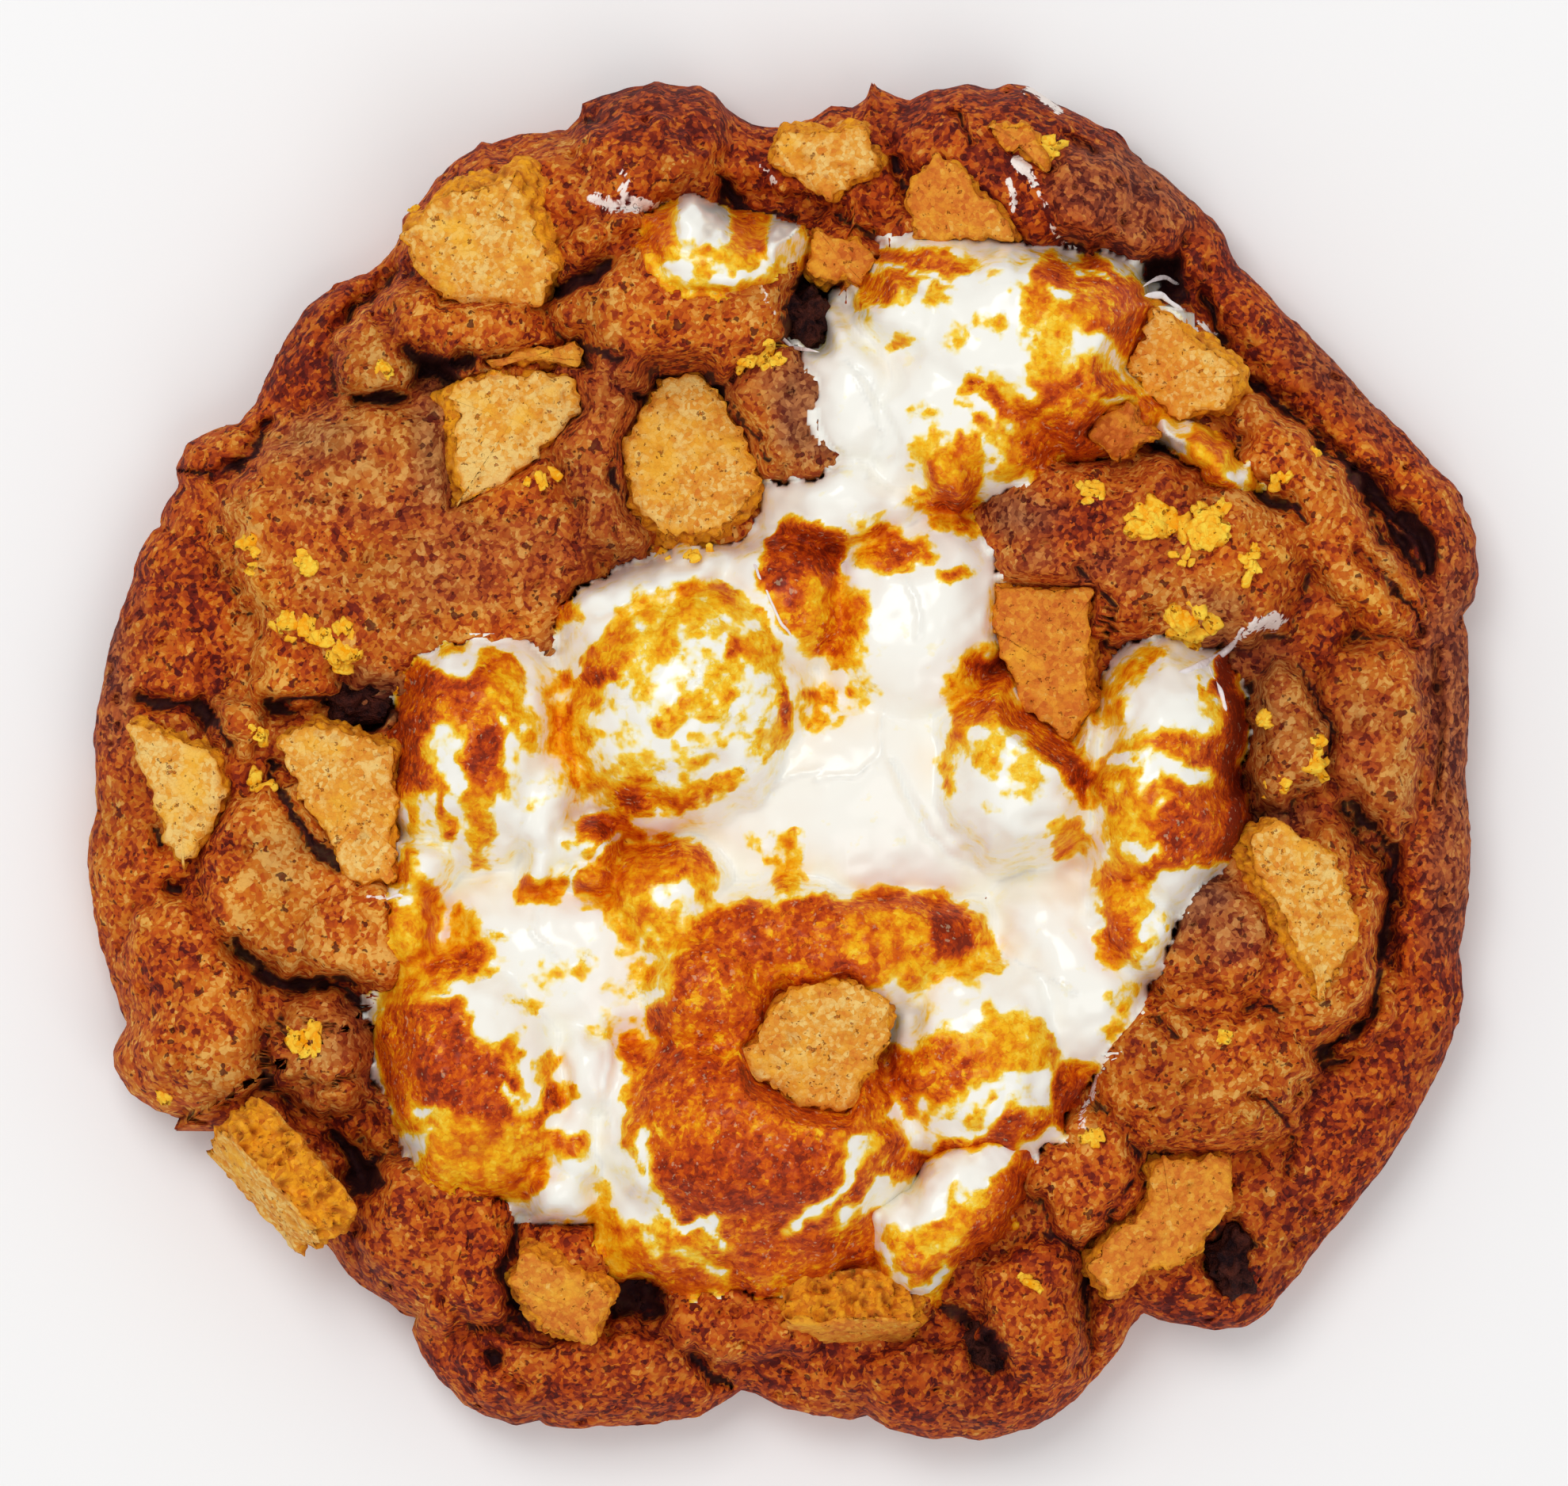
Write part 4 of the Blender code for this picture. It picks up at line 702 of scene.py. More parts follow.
class Graph:
    """The node tree of one material, with a Principled shader at its end."""

    def __init__(self, name: str) -> None:
        """Makes the material."""
        self.material = bpy.data.materials.new(name)
        self.material.use_nodes = True
        self.tree = self.material.node_tree
        self.shader = self.tree.nodes["Principled BSDF"]
        self.place = self.scaled(self.node("ShaderNodeTexCoord", output="Object"), 1 / MM)

    def node(self, kind: str, settings: dict | None = None, values: dict | None = None,
             output: int | str = 0) -> Flow:
        """Adds a node.

        Args:
            kind: The node's type.
            settings: Its properties, set first. stops are the positions and colours of a ramp.
            values: Its sockets' values or flows, by name or number.
            output: Name or number of the output to use.

        Returns:
            What comes out of the node.
        """
        made = self.tree.nodes.new(kind)
        for key, value in (settings or {}).items():
            if key == "stops":
                for _ in value[2:]:
                    made.color_ramp.elements.new(0.5)
                for element, (position, colour) in zip(made.color_ramp.elements, value):
                    element.position = position
                    element.color = colour
            else:
                setattr(made, key, value)
        for key, value in (values or {}).items():
            self.feed(made.inputs[key], value)
        return Flow(self, made.outputs[output])

    def feed(self, socket: bpy.types.NodeSocket, value: "Flow | float | Colour") -> None:
        """Links a flow to a socket, or sets the socket's own value."""
        if isinstance(value, Flow):
            self.tree.links.new(value.socket, socket)
        else:
            socket.default_value = value

    def maths(self, operation: str, first: "Flow | float", second: "Flow | float") -> Flow:
        """One Math node."""
        return self.node("ShaderNodeMath", {"operation": operation}, {0: first, 1: second})

    def scaled(self, vector: Flow, scale: float) -> Flow:
        """A vector times a number."""
        return self.node("ShaderNodeVectorMath", {"operation": "SCALE"}, {0: vector, "Scale": scale})

    def attribute(self, name: str) -> Flow:
        """A value painted on the mesh."""
        return self.node("ShaderNodeAttribute", {"attribute_name": name}, output="Fac")

    def grain(self, cell: float, detail: float = 2.0, rough: float = 0.6) -> Flow:
        """Cloudy unevenness from about -1 to 1, its clouds about a cell across in millimetres."""
        values = {"Vector": self.place, "Scale": 1 / cell, "Detail": detail, "Roughness": rough}
        return 3.2 * (self.node("ShaderNodeTexNoise", None, values) - 0.5)

    def flecks(self, cell: float, place: Flow | None = None) -> Flow:
        """Crystals about a cell across, a grey of its own each."""
        values = {"Vector": place or self.place, "Scale": 1 / cell}
        return self.node("ShaderNodeTexVoronoi", None, values, "Color")

    def bent(self, scale: float, amount: float) -> Flow:
        """Places pushed about by noise, which bends the straight edges of crystals."""
        values = {"Vector": self.place, "Scale": scale, "Detail": 0}
        bend = self.scaled(self.node("ShaderNodeTexNoise", None, values, "Color"), amount)
        return self.node("ShaderNodeVectorMath", {"operation": "ADD"}, {0: self.place, 1: bend})

    def mix(self, share: "Flow | float", first: "Flow | Colour", second: "Flow | Colour",
            blend: str = "MIX") -> Flow:
        """Two colours mixed by a share of the second."""
        settings = {"data_type": "RGBA", "blend_type": blend, "clamp_factor": True}
        return self.node("ShaderNodeMix", settings, {0: share, 6: first, 7: second}, 2)

    def ramp(self, share: Flow, stops: tuple[tuple[float, Colour], ...]) -> Flow:
        """A colour for each share, by straight steps between stops."""
        return self.node("ShaderNodeValToRGB", {"stops": stops}, {"Fac": share})

    def finish(self, colour: "Flow | Colour", roughness: "Flow | float", relief: Flow | None = None,
               depth: float = 0.1, **others: "Flow | float") -> bpy.types.Material:
        """Feeds the shader.

        Args:
            colour: Base colour.
            roughness: Roughness.
            relief: Height of the fine relief, from about 0 to 1.
            depth: Its depth in millimetres.
            others: Other sockets of the shader, with _ for a space.

        Returns:
            The finished material.
        """
        self.feed(self.shader.inputs["Base Color"], colour)
        self.feed(self.shader.inputs["Roughness"], roughness)
        for name, value in others.items():
            self.feed(self.shader.inputs[name.replace("_", " ")], value)
        if relief:
            values = {"Height": relief, "Distance": depth * MM, "Strength": 1.0}
            self.feed(self.shader.inputs["Normal"], self.node("ShaderNodeBump", None, values))
        return self.material


def srgb(red: float, green: float, blue: float) -> Colour:
    """A colour from the 0 to 255 values that a picture shows."""
    shown = np.array((red, green, blue)) / 255
    linear = np.where(shown <= 0.04045, shown / 12.92, ((shown + 0.055) / 1.055) ** 2.4)
    return (*map(float, linear), 1.0)


@dataclass(frozen=True)
class BakedCrumb:
    """Finish of the dough: coarse crystals, red-brown where smooth, tan on lumps, with painted shade in
    crevices and holes.
    """

    burnt: Colour = srgb(84, 18, 14)
    dark: Colour = srgb(138, 40, 14)
    brown: Colour = srgb(194, 80, 16)
    tan: Colour = srgb(216, 124, 30)
    pale: Colour = srgb(236, 174, 84)
    stain_dark: Colour = srgb(82, 34, 24)
    stain_pale: Colour = srgb(182, 116, 76)
    # hollow is the colour of the shade painted into crevices, cracks and holes
    hollow: Colour = srgb(44, 18, 22)
    dull: Colour = (0.72, 0.74, 0.95, 1.0)
    golden: Colour = (1.06, 1.0, 0.45, 1.0)
    melt: Colour = srgb(252, 240, 232)

    def material(self) -> bpy.types.Material:
        """Builds the finish from the attributes tan, stain and smear, and from the painted shade of crevices,
        cracks and holes.
        """
        graph = Graph("baked_crumb")
        tan, stain = graph.attribute("tan"), graph.attribute("stain")
        cavity, smear = graph.attribute("cavity"), graph.attribute("smear")
        bent = graph.bent(1.1, 0.16)
        coarse, fine = graph.flecks(0.72, bent) - 0.5, graph.flecks(0.32, bent) - 0.5
        cloud, haze = graph.grain(1.3, 2.0), graph.grain(5.0, 1.0)
        level = tan + 0.85 * coarse + 1.1 * fine + 0.3 * cloud + 0.24 * haze
        crumb = graph.ramp(0.14 + 0.62 * level, (
            (0.0, self.burnt), (0.22, self.dark), (0.46, self.brown), (0.74, self.tan), (1.0, self.pale)))
        crumb = graph.mix(graph.grain(8.0, 0.0).step(-0.1, 0.9) * 0.6, crumb, self.dull, "MULTIPLY")
        crumb = graph.mix(graph.grain(6.0, 0.0).step(0.0, 0.9) * 0.6, crumb, self.golden, "MULTIPLY")
        stained = graph.mix(0.46 + 1.0 * coarse + 1.1 * fine, self.stain_dark, self.stain_pale)
        crumb = graph.mix(stain * 0.9 + 0.1 * haze + 0.1 * cloud, crumb, stained)
        pits = graph.grain(1.0, 2.0).step(0.43, 0.57) * 0.85
        crumb = graph.mix(pits, crumb, self.burnt)
        # Painted shade: crevices, cracks and holes are darkened towards hollow, with a ragged edge
        shade = 0.35 * cavity + 0.62 * (cavity + 0.3 * cloud + 0.4 * coarse).step(0.5, 0.7)
        crumb = graph.mix(shade, crumb, self.hollow)
        smeared = (smear + 0.25 * cloud + 0.5 * fine).step(0.42, 0.58)
        crumb = graph.mix(smeared, crumb, self.melt)
        relief = 0.5 * fine + 0.4 * coarse - 0.8 * pits
        return graph.finish(crumb, 0.75, relief, 0.2, Specular_IOR_Level=0.15)


@dataclass(frozen=True)
class ToastedMelt:
    """Finish of the marshmallow: glossy white, through yellow and orange to brown where toasted and where
    shade is painted.
    """

    white: Colour = srgb(251, 249, 240)
    cream: Colour = srgb(252, 242, 198)
    yellow: Colour = srgb(254, 214, 66)
    golden: Colour = srgb(250, 184, 18)
    amber: Colour = srgb(238, 140, 4)
    orange: Colour = srgb(220, 98, 4)
    rust: Colour = srgb(188, 62, 6)
    umber: Colour = srgb(128, 36, 10)

    def material(self) -> bpy.types.Material:
        """Builds the finish from the attribute of toast and painted shade."""
        graph = Graph("toasted_melt")
        toast = graph.attribute("toast")
        bent = graph.bent(0.9, 0.2)
        coarse, fine = graph.flecks(0.62, bent) - 0.5, graph.flecks(0.3, bent) - 0.5
        haze, cloud, lace = graph.grain(3.6, 0.0), graph.grain(1.3, 2.0), 0.87 * graph.grain(1.0, 3.0, 0.7)
        stir = toast.step(0.06, 0.36)
        skin = (toast + 0.2 * lace * stir).step(0.2, 0.4)
        burnt = toast.step(0.5, 0.7)
        level = toast + stir * (0.13 * lace + 0.09 * cloud + 0.08 * haze)
        level = level + skin * (0.14 * coarse + 0.12 * fine)
        level = level + burnt * (0.1 * lace + 0.1 * coarse + 0.16 * fine)
        flecked = toast.step(0.09, 0.15) * (1 - toast.step(0.26, 0.4))
        level = level + 0.11 * graph.grain(1.7, 3.0, 0.65).step(0.1, 0.8) + 0.26 * flecked * cloud
        colour = graph.ramp(level, (
            (0.0, self.white), (0.1, self.white), (0.2, self.cream), (0.31, self.yellow), (0.43, self.golden),
            (0.54, self.amber), (0.65, self.orange), (0.81, self.rust), (1.0, self.umber)))
        pits = graph.grain(0.8, 2.0).step(0.4, 0.6) * burnt * 0.4
        colour = graph.mix(pits, colour, self.rust)
        sugar = graph.grain(0.65, 2.0, 0.7).step(0.4, 0.6) * burnt * 0.22
        colour = graph.mix(sugar, colour, self.cream)
        relief = skin * (0.5 * fine + 0.5 * coarse) - pits
        return graph.finish(colour, 0.18 + 0.5 * skin, relief, 0.24, Specular_IOR_Level=0.1,
                            Coat_Weight=0.6 - 0.5 * skin, Coat_Roughness=0.16)


@dataclass(frozen=True)
class Wafer:
    """Finish of a cracker: a pitted baked face and porous yellow broken sides."""

    bake: Bake
    pale: Colour = srgb(244, 202, 118)
    gold: Colour = srgb(234, 160, 54)
    amber: Colour = srgb(222, 130, 42)
    brown: Colour = srgb(204, 104, 36)
    speck: Colour = srgb(184, 84, 20)
    sunny: Colour = srgb(252, 188, 52)
    pore: Colour = srgb(140, 58, 14)
    crumb: Colour = srgb(248, 168, 28)
    crumb_dark: Colour = srgb(194, 94, 22)

    def material(self) -> bpy.types.Material:
        """Builds the finish from the attributes side and pit."""
        graph = Graph(f"wafer_{self.bake.name.lower()}")
        side, pit = graph.attribute("side"), graph.attribute("pit")
        fine, mottle = graph.flecks(0.34) - 0.5, graph.grain(0.9, 4.0, 0.7)
        level = 0.8 * self.bake.value + 0.34 * mottle + 0.5 * fine + 0.16 * graph.grain(3.0, 1.0)
        face = graph.ramp(level, (
            (0.0, self.pale), (0.27, self.gold), (0.54, self.amber), (0.78, self.brown), (1.0, self.speck)))
        face = graph.mix(graph.grain(3.4, 3.0, 0.6).step(0.0, 0.7) * 0.6, face, self.sunny)
        speckled = graph.grain(0.6, 3.0, 0.65).step(0.42, 0.6) * 0.7
        face = graph.mix(speckled, face, self.speck)
        torn = 0.2 + 0.45 * self.bake.value + 0.35 * graph.grain(0.6, 3.0) + fine
        torn = graph.mix(torn, self.crumb, self.crumb_dark)
        colour = graph.mix(side + 0.3 * mottle * side, face, torn)
        colour = graph.mix(pit, colour, self.pore)
        relief = 0.5 * fine + 0.2 * mottle - 0.8 * speckled
        return graph.finish(colour, 0.75, relief, 0.3, Specular_IOR_Level=0.15)


@dataclass(frozen=True)
class DarkChocolate:
    """Finish of the chunks: nearly black brown with a dull bloom."""

    deep: Colour = srgb(34, 14, 18)
    bloom: Colour = srgb(112, 54, 38)

    def material(self) -> bpy.types.Material:
        """Builds the finish from the place alone."""
        graph = Graph("dark_chocolate")
        cloud = graph.grain(1.1, 4.0, 0.7)
        colour = graph.mix(0.25 + 0.7 * cloud, self.deep, self.bloom)
        return graph.finish(colour, 0.7, cloud, 0.35, Specular_IOR_Level=0.12)


@dataclass(frozen=True)
class CrackerCrumb:
    """Finish of the loose crumbs: bright yellow with orange hollows."""

    bright: Colour = srgb(255, 216, 72)
    deep: Colour = srgb(248, 160, 8)
    pit: Colour = srgb(170, 76, 12)

    def material(self) -> bpy.types.Material:
        """Builds the finish from the place alone."""
        graph = Graph("cracker_crumb")
        fine = graph.flecks(0.3)
        colour = graph.mix(0.6 * graph.grain(1.6, 4.0, 0.7) + 0.9 * fine, self.bright, self.deep)
        pits = graph.grain(0.7, 3.0).step(0.35, 0.6) * 0.8
        colour = graph.mix(pits, colour, self.pit)
        return graph.finish(colour, 0.75, 0.5 * fine - pits, 0.25, Specular_IOR_Level=0.05)


@dataclass(frozen=True)
class MeltThread:
    """Finish of the thin white threads and films."""

    white: Colour = srgb(244, 236, 236)

    def material(self) -> bpy.types.Material:
        """Builds the finish from the place alone."""
        graph = Graph("melt_thread")
        cloud = graph.grain(0.7, 2.0)
        colour = graph.mix(cloud.step(0.2, 1.0) * 0.3, self.white, srgb(214, 190, 196))
        return graph.finish(colour, 0.3, cloud, 0.05)


def grid_faces(rows: int, columns: int, closed: bool = False) -> Array:
    """Quads over a grid of points numbered row by row, joined round each row if closed."""
    row = np.arange(rows - 1)[:, None]
    column = np.arange(columns if closed else columns - 1)[None, :]
    following = (column + 1) % columns
    corners = (row * columns + column, row * columns + following,
               (row + 1) * columns + following, (row + 1) * columns + column)
    return np.stack([np.broadcast_to(c, (row.size, column.size)) for c in corners], axis=-1).reshape(-1, 4)


def tube_faces(rows: int, columns: int) -> tuple[Array, Array]:
    """Quads of closed rings of points, and a fan at each end to a point numbered after the rings."""
    around, total = np.arange(columns), rows * columns
    following, last = np.roll(around, -1), total - columns
    fans = np.concatenate([np.stack([np.full(columns, total), following, around], axis=1),
                           np.stack([np.full(columns, total + 1), last + around, last + following], axis=1)])
    return grid_faces(rows, columns, closed=True), fans


def squared_ball(rows: int, columns: int, power: float) -> Array:
    """Points of longitude and latitude on a ball, squared up by a power below 1, its poles last."""
    latitude = np.linspace(-math.pi / 2, math.pi / 2, rows)[1:-1, None]
    longitude = np.linspace(0, 2 * math.pi, columns, endpoint=False)[None, :]
    ball = np.stack([np.cos(latitude) * np.cos(longitude), np.cos(latitude) * np.sin(longitude),
                     np.sin(latitude) + 0 * longitude], axis=-1).reshape(-1, 3)
    ball = np.concatenate([ball, [(0, 0, -1), (0, 0, 1)]])
    return np.sign(ball) * np.abs(ball) ** power


def placed(points: Array, placing: Matrix) -> Array:
    """Points turned and moved to their place."""
    placing = np.array(placing)
    return points @ placing[:3, :3].T + placing[:3, 3]


def build_mesh(name: str, points: Array, quads: Array, triangles: Array | None = None,
               fields: dict[str, Array] | None = None) -> bpy.types.Object:
    """Puts whole arrays into a smooth-shaded mesh.

    Args:
        name: The piece's name.
        points: Places in millimetres.
        quads: Four point numbers a row.
        triangles: Three point numbers a row.
        fields: Values painted on the points, by name.

    Returns:
        The new object, at the origin.
    """
    triangles = np.zeros((0, 3), dtype=np.int64) if triangles is None else triangles
    mesh = bpy.data.meshes.new(name)
    mesh.vertices.add(len(points))
    mesh.vertices.foreach_set("co", (np.asarray(points) * MM).astype(np.float32).ravel())
    corners = np.concatenate([quads.ravel(), triangles.ravel()]).astype(np.int32)
    mesh.loops.add(len(corners))
    mesh.loops.foreach_set("vertex_index", corners)
    starts = np.concatenate([np.arange(len(quads)) * 4, quads.size + np.arange(len(triangles)) * 3])
    mesh.polygons.add(len(starts))
    mesh.polygons.foreach_set("loop_start", starts.astype(np.int32))
    mesh.update(calc_edges=True)
    mesh.shade_smooth()
    for key, values in (fields or {}).items():
        attribute = mesh.attributes.new(key, "FLOAT", "POINT")
        attribute.data.foreach_set("value", np.asarray(values, dtype=np.float32).ravel())
    made = bpy.data.objects.new(name, mesh)
    bpy.context.scene.collection.objects.link(made)
    return made


def settle_piece(piece: bpy.types.Object, material: bpy.types.Material, slot: str, *nodes: str) -> None:
    """Gives a piece its material and its body, and hides the solids that it stands for."""
    piece.data.materials.append(material)
    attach(piece, "root")
    if nodes:
        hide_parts(*nodes)
    LOG.info("%s: %d faces", piece.name, len(piece.data.polygons))


@dataclass(frozen=True)
class DoughCrust:
    """The dough: a disc of square rings, domed, carried down its side to a flat underside."""

    cells: int = 284
    edge_crowding: float = 1.5
    girth_radius: float = 46.0
    side_rows: int = 9
    tuck: float = 2.5
    floor_rings: tuple[float, ...] = (0.9, 0.7, 0.4)

    def relief(self, x: Array, y: Array) -> Array:
        """Fine crumb: three sizes of noise, raised crumbs and small pits."""
        height = 0.22 * noise(x, y, 1.7, 71) + 0.15 * noise(x, y, 0.9, 72) + 0.08 * noise(x, y, 0.5, 73)
        distance, value = scattered(x, y, 1.5, 74)
        height = height + 0.3 * (value - 0.5) * np.clip(1 - 1.6 * distance, 0, 1)
        distance, value = scattered(*ragged(x, y, 0.4, 79), 2.1, 77)
        return height - 0.8 * (value < 0.34) * np.exp(-(distance * 2.1 / (0.12 + 0.9 * value)) ** 2)

    def height(self, x: Array, y: Array) -> Array:
        """Upper side with all its relief, cracks and room for the crackers."""
        height = TERRAIN.dough(x, y, TERRAIN.tear) + self.relief(x, y)
        return under_crackers(x, y, height - self.cracks(x, y))

    def cracks(self, x: Array, y: Array) -> Array:
        """Depth of the fine cracks, torn along their routes and widened here and there."""
        crack_x, crack_y = ragged(x, y, 0.45, 81)
        widen = 1 + 0.7 * noise(x, y, 1.6, 83)
        depth = np.zeros(np.shape(x))
        for groove in CRACKS:
            distance = route_distance(crack_x, crack_y, groove.route) / widen
            depth = np.maximum(depth, groove.depth * np.exp(-(distance / groove.half_width) ** 2))
        return depth

    def disc_from_square(self, u: Array, v: Array) -> tuple[Array, Array]:
        """Share of the radius and angle for points of a square, ring for ring."""
        share = np.maximum(np.abs(u), np.abs(v))
        safe = np.where(share > 0, share, 1)
        wide = np.abs(u) >= np.abs(v)
        angle = np.where(wide, v / safe, 2 - u / safe) * math.pi / 4
        angle = np.where(wide & (u < 0), math.pi - v / safe * math.pi / 4, angle)
        angle = np.where(~wide & (v < 0), (6 + u / safe) * math.pi / 4, angle)
        return share, angle

    def fields(self, x: Array, y: Array, height: Array) -> dict[str, Array]:
        """Colour fields: tan and stain of the lumps with patches, painted shade in crevices, cracks and
        holes, white smears.
        """
        tan, stain = TERRAIN.bare_dough(x, y, TERRAIN.tear)[1:]
        tan, stain = softened(tan, 1), softened(stain, 2)
        patch_x, patch_y = ragged(x, y, 0.7, 91)
        tan = painted(tan, patch_x, patch_y, TAN_PATCHES, 2.0)
        stain = painted(stain, patch_x, patch_y, STAIN_PATCHES, 2.4)
        smear_x, smear_y = ragged(x, y, 0.35, 93)
        smear = painted(np.zeros_like(x), smear_x, smear_y, SMEARS, 0.4)
        # Painted shade: darker where the surface lies below its blurred surroundings, along the cracks and in
        # the holes
        wide = softened(softened(height, 6), 6) - height
        narrow = softened(height, 1) - height
        cavity = 0.4 * smooth_step(wide, 0.7, 2.8) + 0.5 * smooth_step(narrow, 0.16, 0.6)
        cavity = cavity + 0.9 * smooth_step(self.cracks(x, y), 0.8, 1.7)
        for hole in HOLES:
            cavity = cavity + 0.9 * np.exp(-lump_reach(patch_x, patch_y, hole) ** 4)
        lift = smooth_step(-wide, 0.1, 0.9)
        return {"tan": tan + 0.22 * lift, "stain": stain, "cavity": np.clip(cavity, 0, 0.97), "smear": smear}

    def build(self) -> bpy.types.Object:
        """Builds the closed crust and paints its fields."""
        line = np.linspace(-1, 1, self.cells + 1)
        u, v = np.meshgrid(line, line)
        share, angle = self.disc_from_square(u, v)
        radius = TERRAIN.edge_radius(angle) * (1 - (1 - share) ** self.edge_crowding)
        x, y = radius * np.cos(angle), radius * np.sin(angle)
        height = self.height(x, y)
        height = height + 0.5 * np.clip(height - softened(softened(height, 2), 2), -0.9, 0.8) * (share < 0.97)
        height = under_crackers(x, y, height)
        fields = self.fields(x, y, height)
        push = 0.5 * self.relief(angle * self.girth_radius, height * 1.3) * smooth_step(share, 0.86, 0.97)
        x, y = x + push * np.cos(angle), y + push * np.sin(angle)
        top = np.stack([x, y, height], axis=-1)
        quads = grid_faces(self.cells + 1, self.cells + 1)
        side = np.arange(self.cells)
        number = np.arange((self.cells + 1) ** 2).reshape(u.shape)
        border = np.concatenate([number[0, side], number[side, -1], number[-1, self.cells - side],
                                 number[self.cells - side, 0]])
        start = top.reshape(-1, 3)[border]
        bearing = np.arctan2(start[:, 1], start[:, 0])
        reach = np.hypot(start[:, 0], start[:, 1])
        girth = bearing * self.girth_radius
        rows = [start]
        for row in range(1, self.side_rows + 1):
            share_down = row / self.side_rows
            drop = start[:, 2] * (1 - math.cos(share_down * math.pi / 2) ** 1.3)
            level = start[:, 2] - drop
            uneven = 0.5 * self.relief(girth, level * 1.3 + 7) * (1 - share_down)
            inner = reach - self.tuck * share_down ** 3 + uneven
            rows.append(np.stack([inner * np.cos(bearing), inner * np.sin(bearing), level], axis=1))
        rows[-1][:, 2] = 0.0
        for floor_share in self.floor_rings:
            rows.append(rows[self.side_rows] * (floor_share, floor_share, 0.0))
        added = np.concatenate(rows[1:])
        count = len(border)
        ring_numbers = np.concatenate([border, u.size + np.arange(len(added))])
        ring_quads = ring_numbers[grid_faces(len(rows), count, closed=True)][:, ::-1]
        centre = u.size + len(added)
        last = ring_numbers[-count:]
        fan = np.stack([np.full(count, centre), np.roll(last, -1), last], axis=1)
        points = np.concatenate([top.reshape(-1, 3), added, [(0.0, 0.0, 0.0)]])
        painted_fields = {}
        for key, values in fields.items():
            edge_values = values.ravel()[border]
            below = np.tile(edge_values, len(rows) - 1)
            painted_fields[key] = np.concatenate([values.ravel(), below, [edge_values.mean()]])
        return build_mesh("dough_crust", points, np.concatenate([quads, ring_quads]), fan, painted_fields)


